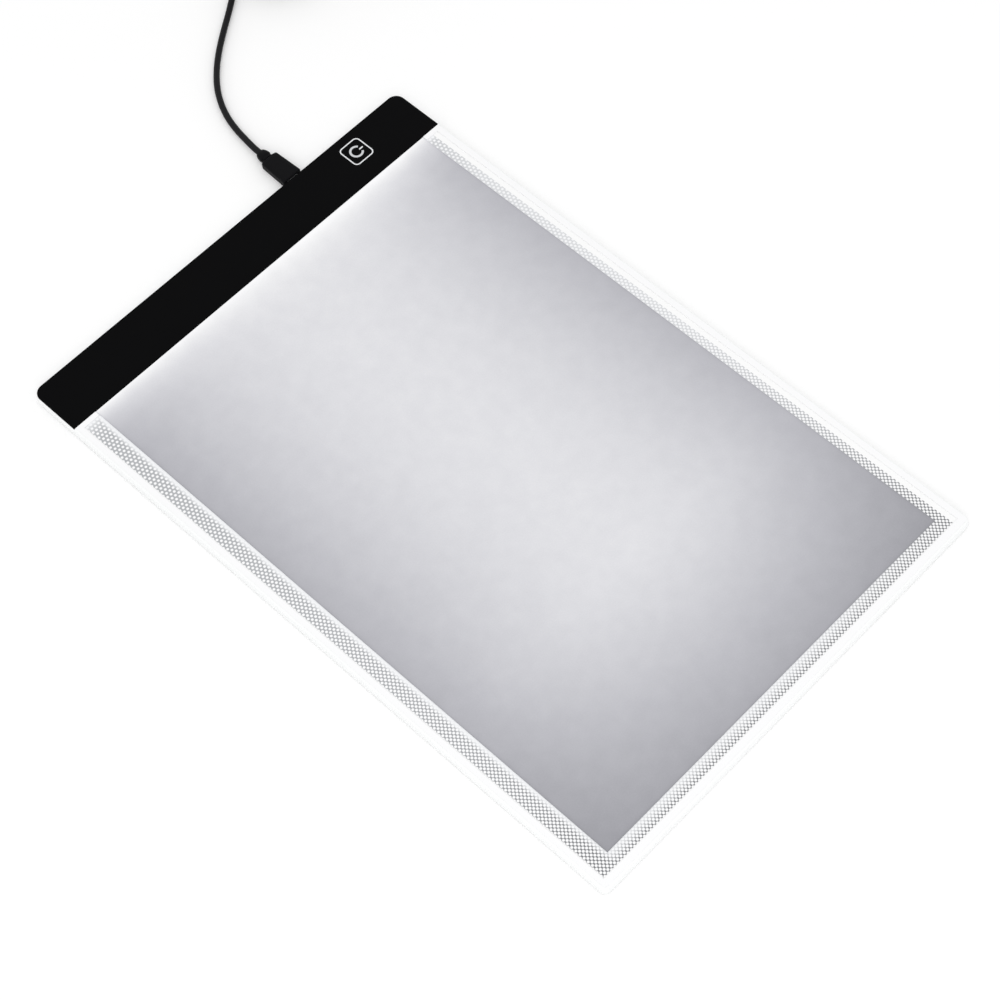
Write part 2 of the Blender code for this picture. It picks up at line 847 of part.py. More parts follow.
def make_micro_plug():
    shell = make_shell(
        "plug_shell",
        plug_shell_width,
        plug_shell_height,
        plug_shell_corner,
        plug_shell_wall,
        plug_tip,
        overmould_front + plug_shell_anchor,
        bright_steel,
        socket_x,
        plug_z,
    )
    half = plug_shell_width / 2 - plug_shell_wall - plug_core_gap
    rise = plug_shell_height / 2 - plug_shell_wall - plug_core_gap
    core = prisms(
        "plug_core",
        [
            block(
                socket_x - half,
                socket_x + half,
                plug_tip + layer_gap,
                overmould_front + plug_shell_anchor,
                plug_z - rise,
                plug_z + rise,
            )
        ],
        contact_black,
    )
    slot_half = tongue_width / 2 + tongue_slot_gap
    slot_rise = tongue_thickness / 2 + tongue_slot_gap
    slot = block(
        socket_x - slot_half,
        socket_x + slot_half,
        plug_tip - overrun,
        overmould_front - plug_core_back,
        plug_z - slot_rise,
        plug_z + slot_rise,
    )
    combine(core, prisms("core_slot", [slot]), "DIFFERENCE")

    rear = overmould_front + overmould_length
    neck_end = rear + neck_length
    bulb_end = neck_end + bulb_length
    neck_height = neck_width * overmould_height / bulb_width
    sections = [
        (
            overmould_front,
            overmould_front_width - 2 * overmould_nose,
            overmould_height - 2 * overmould_nose,
            overmould_corner - overmould_nose,
        ),
        (overmould_front + overmould_nose, overmould_front_width, overmould_height, overmould_corner),
        (rear - overmould_tail, overmould_rear_width, overmould_height, overmould_corner),
    ]
    for along, narrower, lower in tail_draw_shares:
        sections.append(
            (
                rear - overmould_tail * (1 - along),
                overmould_rear_width - narrower * overmould_tail,
                overmould_height - 2 * lower * overmould_nose,
                overmould_corner,
            )
        )
    neck_corner = neck_height * neck_corner_share
    sections.append((rear + neck_length * neck_start_share, neck_width, neck_height, neck_corner))
    sections.append((neck_end, neck_width, neck_height, neck_corner))
    bulb_start = neck_end + neck_length * bulb_start_share
    for k, share in enumerate(bulb_width_shares):
        along = k / (len(bulb_width_shares) - 1)
        width = share * (bulb_width + (bulb_rear_width - bulb_width) * along**3)
        height = width * overmould_height / bulb_width
        y = bulb_start + (bulb_end - bulb_start) * along
        sections.append((y, width, height, height * bulb_corner_share))
    form = bmesh.new()
    add_levels(form, along_y([(*section, socket_x, plug_z) for section in sections]))
    overmould = new_object("plug_overmould", form, plug_black, smooth=True)
    anchor = rounded_outline(
        -plug_shell_width / 2 - layer_gap,
        plug_shell_width / 2 + layer_gap,
        -plug_shell_height / 2 - layer_gap,
        plug_shell_height / 2 + layer_gap,
    )
    form = bmesh.new()
    add_levels(
        form,
        [
            [(socket_x + x, y, plug_z + z) for x, z in anchor]
            for y in (overmould_front - overrun, overmould_front + plug_shell_anchor + layer_gap)
        ],
    )
    combine(overmould, new_object("plug_anchor", form, None), "DIFFERENCE")
    return [shell, core, overmould], bulb_end


def coil_points():
    """The wound cord: it spirals in and out again, and climbs a layer at each reversal."""
    pitch = cord_diameter + coil_turn_gap
    turns_per_layer = coil_turns / coil_layers
    spread = pitch * turns_per_layer
    turns = np.linspace(0, coil_turns, int(coil_turns * points_per_turn) + 1)
    layer = np.minimum(turns // turns_per_layer, coil_layers - 1)
    within = turns / turns_per_layer - layer
    inwards = layer % 2 == 0
    radius = coil_middle_radius + spread * np.where(inwards, 0.5 - within, within - 0.5)
    height = np.full(len(turns), coil_lift + cord_radius)
    for reversal in range(1, coil_layers):
        climbed = np.clip((turns - reversal * turns_per_layer) / 0.5 + 0.5, 0, 1)
        height += pitch * (1 - np.cos(math.pi * climbed)) / 2
    angle = coil_start_angle - math.tau * turns
    points = np.column_stack(
        [coil_centre[0] + radius * np.cos(angle), coil_centre[1] + radius * np.sin(angle), height]
    )
    for end, sign in ((0, -1), (-1, 1)):
        heading = np.array([math.sin(angle[end]), -math.cos(angle[end]), 0.0])
        straight = points[end] + sign * cord_diameter * heading
        points = np.vstack([straight, points]) if end == 0 else np.vstack([points, straight])
    return points


def least_gap(points):
    """The smallest distance between two stretches of the coil that aren't neighbours along it."""
    fine = hermite(points, len(points) * 6)
    step = np.linalg.norm(fine[1] - fine[0])
    apart = int(2.5 * cord_diameter / step)
    nearest = min(
        np.linalg.norm(fine[k + apart :] - fine[k], axis=1).min() for k in range(len(fine) - apart)
    )
    return nearest - cord_diameter


def length_of(points):
    return float(np.linalg.norm(np.diff(np.array(points), axis=0), axis=1).sum())


def make_cord():
    coil = coil_points()
    stretches = []
    for route in (exit_route, tail_route):
        count = int(length_of(route) / cord_point_spacing) + 2
        stretches.append(hermite(route, count))
    exit_points, tail_points = stretches
    pieces = [
        tube("lead_cord", exit_points, cord_radius, 2, cord_black),
        tube("cord_coil", coil, cord_radius, 1, cord_black),
        tube("cord_tail", tail_points, cord_radius, 2, cord_black),
    ]
    print(f"coil: least gap {least_gap(coil) * 1000:.2f} mm, {length_of(coil):.3f} m in its turns")
    print(f"coil ends {np.round(coil[0], 4)} {np.round(coil[-1], 4)}")
    out, tail = length_of(exit_points), length_of(tail_points)
    print(f"cord: {out:.3f} m out, {tail:.3f} m tail, {length_of(coil) + out + tail:.3f} m in all")
    return pieces


def make_tie():
    """A flat band round all the turns of the coil at one place."""
    pitch = cord_diameter + coil_turn_gap
    inner_half = (pitch * coil_turns / coil_layers + cord_diameter) / 2 + tie_gap
    inner_bottom = coil_lift - tie_gap
    inner_top = coil_lift + cord_diameter + pitch * (coil_layers - 1) + tie_gap
    corner = cord_radius

    def band(name, grow, half_band, surface):
        half = inner_half + grow
        ring = rounded_outline(-half, half, inner_bottom - grow, inner_top + grow, corner, corner, steps=4)
        form = bmesh.new()
        add_levels(form, [[(x, y, z) for x, z in ring] for y in (-half_band, half_band)])
        return new_object(name, form, surface)

    tie = band("cord_tie", tie_thickness, tie_width / 2, tie_black)
    hole = band("tie_hole", 0.0, tie_width / 2 + overrun, None)
    combine(tie, hole, "DIFFERENCE")
    place = (
        coil_centre[0] + coil_middle_radius * math.cos(tie_angle),
        coil_centre[1] + coil_middle_radius * math.sin(tie_angle),
        0.0,
    )
    for piece in (tie, hole):
        piece.location = place
        piece.rotation_euler = (0.0, 0.0, tie_angle)
    return tie


def make_usb_a():
    """The USB-A plug, modelled along +Y from the cord's end and then turned into place."""
    relief_end = usb_a_relief_length
    nose = relief_end + usb_a_body_length
    tip = nose + usb_a_shell_length
    shoulder = relief_end + usb_a_shoulder_share * usb_a_body_length
    sections = []
    steps = 4 * usb_a_relief_ribs
    for k in range(steps + 1):
        along = k / steps
        width = usb_a_relief_end + (usb_a_relief_width - usb_a_relief_end) * along
        width -= usb_a_relief_groove if k % 4 == 2 else 0.0
        corner = width * usb_a_relief_corner_share
        sections.append((relief_end * along, width, width, corner))
    sections += [
        (
            relief_end + usb_a_nose / 2,
            usb_a_rear_width - 2 * usb_a_nose,
            usb_a_body_height - 2 * usb_a_nose,
            usb_a_corner,
        ),
        (relief_end + 2 * usb_a_nose, usb_a_rear_width, usb_a_body_height, usb_a_corner),
        (shoulder, usb_a_body_width, usb_a_body_height, usb_a_corner),
        (nose - usb_a_nose, usb_a_body_width, usb_a_body_height, usb_a_corner),
        (nose, usb_a_body_width - usb_a_nose, usb_a_body_height - usb_a_nose, usb_a_corner),
    ]
    form = bmesh.new()
    add_levels(form, along_y([(*section, 0.0, 0.0) for section in sections]))
    body = new_object("usb_a_overmould", form, plug_black, smooth=True)
    anchor = block(
        -usb_a_shell_width / 2 - usb_a_core_gap,
        usb_a_shell_width / 2 + usb_a_core_gap,
        nose - usb_a_shell_anchor - usb_a_core_gap,
        nose + overrun,
        -usb_a_shell_height / 2 - usb_a_core_gap,
        usb_a_shell_height / 2 + usb_a_core_gap,
    )
    pocket = prisms("usb_a_anchor", [anchor])
    combine(body, pocket, "DIFFERENCE")

    shell = make_shell(
        "usb_a_shell",
        usb_a_shell_width,
        usb_a_shell_height,
        usb_a_shell_corner,
        usb_a_shell_wall,
        nose - usb_a_shell_anchor,
        tip,
        bright_steel,
    )
    windows = []
    for side in (-0.5, 0.5):
        middle = side * usb_a_window_pitch
        windows.append(
            block(
                middle - usb_a_window / 2,
                middle + usb_a_window / 2,
                tip - usb_a_window_from_tip - usb_a_window,
                tip - usb_a_window_from_tip,
                -usb_a_shell_height,
                usb_a_shell_height,
            )
        )
    window_cut = prisms("usb_a_windows", windows)
    combine(shell, window_cut, "DIFFERENCE")

    inside_half = usb_a_shell_width / 2 - usb_a_shell_wall - usb_a_core_gap
    inside_rise = usb_a_shell_height / 2 - usb_a_shell_wall - usb_a_core_gap
    core = prisms(
        "usb_a_core",
        [
            block(
                -inside_half,
                inside_half,
                nose - usb_a_shell_anchor,
                nose - usb_a_shell_anchor + usb_a_core_back,
                -inside_rise,
                inside_rise,
            )
        ],
        contact_black,
    )
    ledge = block(
        -inside_half,
        inside_half,
        nose - usb_a_shell_anchor + usb_a_core_back / 2,
        tip - usb_a_tongue_short,
        -inside_rise,
        usb_a_tongue_thickness - inside_rise,
    )
    core_ledge = prisms("core_ledge", [ledge])
    combine(core, core_ledge, "UNION")

    start = Vector(tail_route[-1])
    along = Vector((math.cos(usb_a_heading), math.sin(usb_a_heading), 0.0))
    place = start + along * end_gap
    place.z = usb_a_height
    shell_bore = bpy.data.objects["usb_a_shell_bore"]
    for piece in (body, pocket, shell, shell_bore, window_cut, core, core_ledge):
        piece.location = place
        piece.rotation_euler = (0.0, 0.0, usb_a_heading - math.pi / 2)
    return [body, shell, core]


def carry(name, place, pieces):
    """Parents the pieces to an empty at the given place without moving them."""
    holder = bpy.data.objects.new(name, None)
    holder.location = place
    bpy.context.scene.collection.objects.link(holder)
    for piece in pieces:
        piece.parent = holder
        piece.matrix_parent_inverse = Matrix.Translation(place).inverted()


pad_pieces = [make_back_cover(), make_control_cover()]
pad_pieces += make_feet()
pad_pieces += make_light_stack()
pad_pieces += make_led_strip()
pad_pieces += make_control_board()
pad_pieces += make_socket()
carry("pad", Vector((0.0, 0.0, 0.0)), pad_pieces)

lead_pieces, relief_end_y = make_micro_plug()
lead_pieces += make_cord()
lead_pieces += [make_tie()]
lead_pieces += make_usb_a()
carry("lead_axis", Vector((socket_x, half_length, plug_z)), lead_pieces)
print(f"pad height {pad_height:.5f}, plug axis {plug_z:.5f}, relief ends at {relief_end_y:.5f}")
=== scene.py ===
import math

import bpy
import numpy as np
from mathutils import Matrix, Vector


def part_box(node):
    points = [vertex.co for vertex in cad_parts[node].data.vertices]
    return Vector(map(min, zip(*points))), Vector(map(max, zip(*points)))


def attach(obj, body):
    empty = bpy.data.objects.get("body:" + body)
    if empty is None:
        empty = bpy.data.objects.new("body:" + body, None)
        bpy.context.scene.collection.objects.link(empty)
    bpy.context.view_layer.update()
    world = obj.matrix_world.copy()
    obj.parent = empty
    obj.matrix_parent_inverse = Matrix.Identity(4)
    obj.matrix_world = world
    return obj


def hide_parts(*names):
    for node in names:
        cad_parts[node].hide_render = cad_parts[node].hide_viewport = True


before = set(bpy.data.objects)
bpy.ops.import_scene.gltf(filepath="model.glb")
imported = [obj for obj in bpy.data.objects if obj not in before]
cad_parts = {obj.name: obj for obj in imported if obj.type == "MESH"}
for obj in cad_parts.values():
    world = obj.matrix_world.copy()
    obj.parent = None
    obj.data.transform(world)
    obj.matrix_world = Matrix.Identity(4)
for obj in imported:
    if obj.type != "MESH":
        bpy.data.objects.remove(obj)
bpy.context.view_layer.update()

# A lit A4 tracing pad with a touch strip and a plug-in lead. Lengths are in metres: X runs across
# the pad, +Y towards the control strip and +Z up from the table that it lies on.
scene = bpy.context.scene
scene.view_settings.view_transform = "Standard"


# Camera: it looks down on the pad from its front left, turned a little about its own line of
# sight. The angles, distance and lens were fitted to the pad's corners.
camera_azimuth = math.radians(-43.037)
camera_elevation = math.radians(59.825)
camera_roll = math.radians(-3.790)
camera_distance = 1.13858
camera_target = np.array((-0.012458, -0.017225, 0.0))
camera_lens = 91.15

back = np.array(
    (
        math.sin(camera_azimuth) * math.cos(camera_elevation),
        -math.cos(camera_azimuth) * math.cos(camera_elevation),
        math.sin(camera_elevation),
    )
)
level = np.array((math.cos(camera_azimuth), math.sin(camera_azimuth), 0.0))
upright = np.cross(back, level)
sight_right = math.cos(camera_roll) * level + math.sin(camera_roll) * upright
sight_up = math.cos(camera_roll) * upright - math.sin(camera_roll) * level
placing = np.eye(4)
placing[:3] = np.column_stack([sight_right, sight_up, back, camera_target + camera_distance * back])
camera = bpy.data.objects.new("camera", bpy.data.cameras.new("camera"))
camera.data.lens = camera_lens
camera.matrix_world = Matrix(placing.tolist())
scene.collection.objects.link(camera)
scene.camera = camera


# Cord: 1.1 m of round black PVC jacket, 3.2 mm thick. It leaves the small plug's relief, lies on
# the table, is wound into a tied coil in four layers, and ends in the large plug.
cord_diameter = 0.0032
cord_sides = 20
cord_step = 0.0009
coil_point_step = 0.0047
entry_depth = 0.0026
small_plug_exit = (0.04885, 0.2049, 0.00275)
exit_route = [
    small_plug_exit,
    (0.0493, 0.2100, 0.0026),
    (0.0502, 0.2160, 0.0022),
    (0.0514, 0.2230, 0.00185),
    (0.0536, 0.2315, 0.0017),
    (0.0574, 0.2405, 0.0017),
    (0.0630, 0.2495, 0.0017),
    (0.0705, 0.2580, 0.0017),
    (0.0795, 0.2660, 0.0017),
    (0.0895, 0.2735, 0.0017),
    (0.1000, 0.2808, 0.0017),
    (0.1100, 0.2882, 0.00175),
    (0.1192, 0.2956, 0.0021),
    (0.1268, 0.3024, 0.0024),
]
tail_route = [
    (0.1579, 0.3056, 0.0135),
    (0.1648, 0.3012, 0.0127),
    (0.1708, 0.2954, 0.0106),
    (0.1756, 0.2884, 0.0079),
    (0.1789, 0.2808, 0.0055),
    (0.1809, 0.2732, 0.0042),
    (0.1820, 0.2660, 0.0039),
]
coil_centre = (0.1440, 0.2885)
coil_middle_radius = 0.0180
coil_start_angle = math.radians(132)
coil_turns = 8.2
coil_layers = 4
coil_turn_gap = 0.0005
coil_pitch = cord_diameter + coil_turn_gap
coil_lift = 0.0008
coil_points_per_turn = 24
large_plug_heading = math.radians(-81.3)
large_plug_height = 0.0039
large_plug_gap = 0.0003


def smooth_route(points, spacing):
    """Points at equal steps of length on a cubic curve through the given ones. The slope at a
    given point is half the step from its neighbour before to its neighbour after."""
    points = np.asarray(points, float)
    slopes = np.gradient(points, axis=0)
    t = np.linspace(0, 1, 40, endpoint=False)[None, :, None]
    fine = (
        (2 * t**3 - 3 * t**2 + 1) * points[:-1, None]
        + (t**3 - 2 * t**2 + t) * slopes[:-1, None]
        + (3 * t**2 - 2 * t**3) * points[1:, None]
        + (t**3 - t**2) * slopes[1:, None]
    )
    fine = np.vstack([fine.reshape(-1, 3), points[-1:]])
    travelled = np.concatenate([[0], np.cumsum(np.linalg.norm(np.diff(fine, axis=0), axis=1))])
    wanted = np.linspace(0, travelled[-1], round(travelled[-1] / spacing) + 1)
    return np.column_stack([np.interp(wanted, travelled, fine[:, axis]) for axis in range(3)])


def wound_route():
    """Centre of the coiled cord. The radius runs in and out again once per layer at a steady rate,
    and at each reversal the height rises by one pitch along half a cosine wave."""
    turns_per_layer = coil_turns / coil_layers
    turns = np.linspace(0, coil_turns, int(coil_turns * coil_points_per_turn) + 1)
    layer = np.minimum(turns // turns_per_layer, coil_layers - 1)
    within = turns / turns_per_layer - layer
    outwards = np.where(layer % 2 == 0, 0.5 - within, within - 0.5)
    radius = coil_middle_radius + coil_pitch * turns_per_layer * outwards
    reversals = turns_per_layer * np.arange(1, coil_layers)[:, None]
    climbed = np.clip((turns - reversals) / 0.5 + 0.5, 0, 1)
    climb = ((1 - np.cos(math.pi * climbed)) / 2).sum(0)
    height = coil_lift + cord_diameter / 2 + coil_pitch * climb
    angle = coil_start_angle - math.tau * turns
    x = coil_centre[0] + radius * np.cos(angle)
    y = coil_centre[1] + radius * np.sin(angle)
    points = np.column_stack([x, y, height])
    headings = np.column_stack([np.sin(angle), -np.cos(angle), np.zeros(len(angle))])[[0, -1]]
    ends = points[[0, -1]] + cord_diameter * headings * np.array([[-1.0], [1.0]])
    return np.vstack([ends[:1], points, ends[1:]])


def loft(rings, closed=False):
    """A closed body through rings of equal count: point k of ring i is joined to point k + 1 and to
    both points of ring i + 1. The end rings get flat caps, or the last ring meets the first. The
    faces are turned round where the volume that they enclose comes out negative."""
    rings = np.asarray(rings, float)
    count, around = rings.shape[:2]
    points = rings.reshape(-1, 3)
    step = np.arange(count if closed else count - 1)[:, None]
    k = np.arange(around)[None]
    low, high, following = step * around, (step + 1) % count * around, (k + 1) % around
    quads = np.stack([low + k, low + following, high + following, high + k], axis=-1).reshape(-1, 4)
    caps = [] if closed else [k[0][::-1], k[0] + (count - 1) * around]
    triangles = [quads[:, [0, 1, 2]], quads[:, [0, 2, 3]]]
    triangles += [np.column_stack([np.full(around - 2, c[0]), c[1:-1], c[2:]]) for c in caps]
    a, b, c = np.moveaxis(points[np.vstack(triangles)], 1, 0)
    if np.einsum("ij,ij->", a, np.cross(b, c)) < 0:
        quads, caps = quads[:, ::-1], [cap[::-1] for cap in caps]
    return points, quads, caps


def make_piece(name, parts, surface, body, replaced=(), crease=35):
    """One object at the origin from closed bodies, smooth except where faces meet more sharply than
    the crease angle in degrees."""
    starts = np.cumsum([0] + [len(points) for points, _, _ in parts])
    faces = []
    for start, (_, quads, caps) in zip(starts, parts):
        faces += (quads + start).tolist() + [(cap + start).tolist() for cap in caps]
    mesh = bpy.data.meshes.new(name)
    mesh.from_pydata(np.vstack([points for points, _, _ in parts]), [], faces)
    mesh.shade_smooth()
    mesh.set_sharp_from_angle(angle=math.radians(crease))
    mesh.materials.append(surface)
    made = bpy.data.objects.new(name, mesh)
    scene.collection.objects.link(made)
    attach(made, body)
    if replaced:
        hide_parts(*replaced)
    return made


def paint(red, green, blue):
    """A colour from its 0 to 255 values on a screen, as linear light."""
    share = np.array((red, green, blue)) / 255
    light = np.where(share > 0.04045, ((share + 0.055) / 1.055) ** 2.4, share / 12.92)
    return (*light.tolist(), 1.0)


def new_surface(name, roughness=0.5, metallic=0.0, specular=0.5):
    """A material with one Principled shader. Returns it with its shader and the position on the
    object, from which the patterns are worked out."""
    made = bpy.data.materials.new(name)
    made.use_nodes = True
    tree = made.node_tree
    shader = tree.nodes["Principled BSDF"]
    shader.inputs["Roughness"].default_value = roughness
    shader.inputs["Metallic"].default_value = metallic
    shader.inputs["Specular IOR Level"].default_value = specular
    place = tree.nodes.new("ShaderNodeTexCoord").outputs["Object"]
    return made, shader, place


def feed(value, socket):
    """Puts a number, a colour or another node's output into a socket."""
    if isinstance(value, bpy.types.NodeSocket):
        socket.id_data.links.new(value, socket)
    else:
        socket.default_value = value


def beside(socket, kind):
    """A new node in the tree that holds another node's socket."""
    return socket.id_data.nodes.new(kind)


def calc(operation, *terms):
    """A Math node beside the first of its terms that isn't a plain number."""
    beside_it = next(term for term in terms if isinstance(term, bpy.types.NodeSocket))
    node = beside(beside_it, "ShaderNodeMath")
    node.operation = operation
    for term, socket in zip(terms, node.inputs):
        feed(term, socket)
    return node.outputs[0]


def plus(first, second):
    return calc("ADD", first, second)


def minus(first, second):
    return calc("SUBTRACT", first, second)


def times(*factors):
    """The product of two or more numbers or outputs."""
    product = factors[0]
    for factor in factors[1:]:
        product = calc("MULTIPLY", product, factor)
    return product


def times_plus(value, factor, added):
    return calc("MULTIPLY_ADD", value, factor, added)


def over(value, divisor):
    return calc("DIVIDE", value, divisor)


def off_whole(value):
    """How far a number is from the nearest whole one."""
    return calc("ABSOLUTE", minus(value, calc("ROUND", value)))


def axes(place):
    """The X, Y and Z of a position."""
    node = beside(place, "ShaderNodeSeparateXYZ")
    feed(place, node.inputs[0])
    return node.outputs


def mixed(share, first, second):
    """A colour between two others."""
    node = beside(share, "ShaderNodeMix")
    node.data_type = "RGBA"
    for value, number in ((share, 0), (first, 6), (second, 7)):
        feed(value, node.inputs[number])
    return node.outputs[2]


def noise(place, per_metre, detail=2.0):
    node = beside(place, "ShaderNodeTexNoise")
    feed(place, node.inputs["Vector"])
    feed(per_metre, node.inputs["Scale"])
    node.inputs["Detail"].default_value = detail
    return node.outputs["Fac"]


def bump(height, distance, strength=1.0):
    """The direction of a surface that stands out by its height times the distance."""
    node = beside(height, "ShaderNodeBump")
    for value, label in ((strength, "Strength"), (distance, "Distance"), (height, "Height")):
        feed(value, node.inputs[label])
    return node.outputs[0]


def look(shader, colour, roughness=None, metallic=None, normal=None):
    """Feeds those of the shader's sockets that this finish changes over its surface."""
    values = {"Base Color": colour, "Roughness": roughness, "Metallic": metallic, "Normal": normal}
    for label, value in values.items():
        if value is not None:
            feed(value, shader.inputs[label])


def new_effect(name, inputs, outputs):
    """An empty shader node group with the named inputs and outputs."""
    tree = bpy.data.node_groups.new(name, "ShaderNodeTree")
    for direction, sockets in (("INPUT", inputs), ("OUTPUT", outputs)):
        for label, kind in sockets:
            tree.interface.new_socket(label, in_out=direction, socket_type="NodeSocket" + kind)
    return tree, tree.nodes.new("NodeGroupInput").outputs, tree.nodes.new("NodeGroupOutput").inputs


def place_effect(effect, **values):
    """Puts a node group into a material. The values are for the inputs of the same names."""
    node = beside(values["Place"], "ShaderNodeGroup")
    node.node_tree = effect
    for label, value in values.items():
        feed(value, node.inputs[label])
    return node.outputs


# Grain of a moulded or rolled surface: fine pits that only tilt the light, with a slow drift of
# tone and polish over them.
grain_effect, given, put = new_effect(
    "surface_grain",
    [("Place", "Vector"), ("Colour", "Color"), ("Polish", "Float"), ("Fineness", "Float"),
     ("Depth", "Float"), ("Drift", "Float")],
    [("Colour", "Color"), ("Roughness", "Float"), ("Normal", "Vector")],
)
pits = noise(given["Place"], given["Fineness"], 3.0)
slow = noise(given["Place"], 90.0)
sway = times(minus(slow, 0.5), given["Drift"])
sway = times_plus(minus(pits, 0.5), times(given["Drift"], 0.5), sway)
toned = grain_effect.nodes.new("ShaderNodeVectorMath")
toned.operation = "SCALE"
feed(given["Colour"], toned.inputs[0])
feed(plus(sway, 1.0), toned.inputs["Scale"])
feed(toned.outputs[0], put["Colour"])
feed(times_plus(sway, 0.8, given["Polish"]), put["Roughness"])
feed(bump(pits, given["Depth"], 0.6), put["Normal"])


def grained(name, colour, polish, fineness, depth, drift, specular=0.5):
    """A material of one colour with the surface grain over it."""
    made, shader, place = new_surface(name, polish, specular=specular)
    out = place_effect(grain_effect, Place=place, Colour=colour, Polish=polish,
                       Fineness=fineness, Depth=depth, Drift=drift)
    look(shader, out["Colour"], out["Roughness"], normal=out["Normal"])
    return made


cord_jacket = grained("cord_jacket", paint(22, 22, 24), 0.50, 2600.0, 0.00006, 0.10, specular=0.12)
large_plug_way = np.array((math.cos(large_plug_heading), math.sin(large_plug_heading), 0.0))
enter_small = np.array(small_plug_exit) - (0.0, entry_depth, 0.0)
enter_large = np.array(tail_route[-1]) + (entry_depth + large_plug_gap) * large_plug_way
out_run = smooth_route([enter_small, *exit_route], coil_point_step)[:-1]
tail_run = smooth_route([*tail_route, enter_large], coil_point_step)[1:]
cord_route = smooth_route(np.vstack([out_run, wound_route(), tail_run]), cord_step)
along = np.gradient(cord_route, axis=0)
along /= np.linalg.norm(along, axis=1)[:, None]
aside = np.cross(along, (0.0, 0.0, 1.0))
aside /= np.linalg.norm(aside, axis=1)[:, None]
above = np.cross(aside, along)
circling = math.tau * np.arange(cord_sides) / cord_sides
cord_rings = cord_route[:, None] + cord_diameter / 2 * (
    np.cos(circling)[:, None] * aside[:, None] + np.sin(circling)[:, None] * above[:, None]
)
cord = make_piece(
    "lead_cord_jacket", [loft(cord_rings)], cord_jacket, "lead",
    ["lead_cord", "cord_coil", "cord_tail"],
)
measured = np.linalg.norm(np.diff(cord_route, axis=0), axis=1).sum()
print(f"cord: {measured:.3f} m along its middle")


# Tie: a woven hook-and-loop strap, 3 mm wide, that holds the coil's turns together. It goes once
# round all the layers, and its tongue is pressed back over the outside of the band.
tie_width = 0.0030
tie_thickness = 0.0005
tie_gap = 0.0003
tie_angle = math.radians(190)
tie_corner = cord_diameter / 2 + tie_gap
tongue_start_share = 0.26
tongue_end_share = 0.46
tongue_rise = 0.00002
tongue_width_share = 0.9
tie_steps = 96
tongue_steps = 24
loop_depth = 0.00015


def rounded_loop(x0, x1, y0, y1, radii, steps=8):
    """Points and outward directions on a rectangle whose corners, from (x0, y0) anticlockwise, are
    quarter circles of the given radii: centre + radius * (cos a, sin a), facing (cos a, sin a)."""
    radii = np.array(radii, float)[:, None]
    first = math.pi * np.array([[1.0], [1.5], [0.0], [0.5]])
    turn = first + np.linspace(0, math.pi / 2, steps + 1)[None]
    facing = np.stack([np.cos(turn), np.sin(turn)], axis=-1)
    x = np.array([[x0], [x1], [x1], [x0]]) + radii * np.array([[1], [-1], [-1], [1]])
    y = np.array([[y0], [y0], [y1], [y1]]) + radii * np.array([[1], [1], [-1], [-1]])
    points = np.stack([np.broadcast_to(x, turn.shape), np.broadcast_to(y, turn.shape)], axis=-1)
    return (points + radii[..., None] * facing).reshape(-1, 2), facing.reshape(-1, 2)


def strap_rings(path, facing, inner, outer, half_width):
    """Rings of a flat strap whose path lies in the plane across the coil: each ring has the strap's
    four edges, with its thickness along the path's outward direction."""
    rise = np.array([inner, inner, outer, outer])[None, :, None]
    flat = path[:, None] + rise * facing[:, None]
    across = np.broadcast_to(np.array([-1, 1, 1, -1]) * half_width, flat.shape[:2])
    radial = coil_middle_radius + flat[..., 0]
    x = coil_centre[0] + radial * math.cos(tie_angle) - across * math.sin(tie_angle)
    y = coil_centre[1] + radial * math.sin(tie_angle) + across * math.cos(tie_angle)
    return np.stack([x, y, flat[..., 1]], axis=-1)


tie_weave, shader, place = new_surface("tie_weave", 0.85, specular=0.3)
loops = beside(place, "ShaderNodeTexVoronoi")
feed(place, loops.inputs["Vector"])
loops.inputs["Scale"].default_value = 2600.0
fuzz = noise(place, 7000.0, 3.0)
look(
    shader, mixed(loops.outputs["Distance"], paint(34, 34, 36), paint(16, 16, 17)),
    normal=bump(plus(loops.outputs["Distance"], fuzz), loop_depth),
)
tie_half = (coil_pitch * coil_turns / coil_layers + cord_diameter) / 2 + tie_gap
tie_top = coil_lift + cord_diameter + coil_pitch * (coil_layers - 1) + tie_gap
tie_path, tie_facing = rounded_loop(
    -tie_half, tie_half, coil_lift - tie_gap, tie_top, [tie_corner] * 4
)


def read_loop(shares):
    """The tie's path and outward direction at shares of its length, from its lower inner corner."""
    ring = np.column_stack([tie_path, tie_facing])
    ring = np.vstack([ring, ring[:1]])
    run = np.concatenate([[0.0], np.cumsum(np.linalg.norm(np.diff(ring[:, :2], axis=0), axis=1))])
    read = np.column_stack([np.interp(shares * run[-1], run, ring[:, c]) for c in range(4)])
    facing = read[:, 2:] / np.linalg.norm(read[:, 2:], axis=1)[:, None]
    return read[:, :2], facing


band_rings = strap_rings(
    *read_loop(np.arange(tie_steps) / tie_steps), 0.0, tie_thickness, tie_width / 2
)
tongue_rings = strap_rings(
    *read_loop(np.linspace(tongue_start_share, tongue_end_share, tongue_steps)),
    tie_thickness + tongue_rise, 2 * tie_thickness, tongue_width_share * tie_width / 2,
)
tie_parts = [loft(band_rings, closed=True), loft(tongue_rings)]
tie = make_piece("coil_tie_strap", tie_parts, tie_weave, "lead", ["cord_tie"])


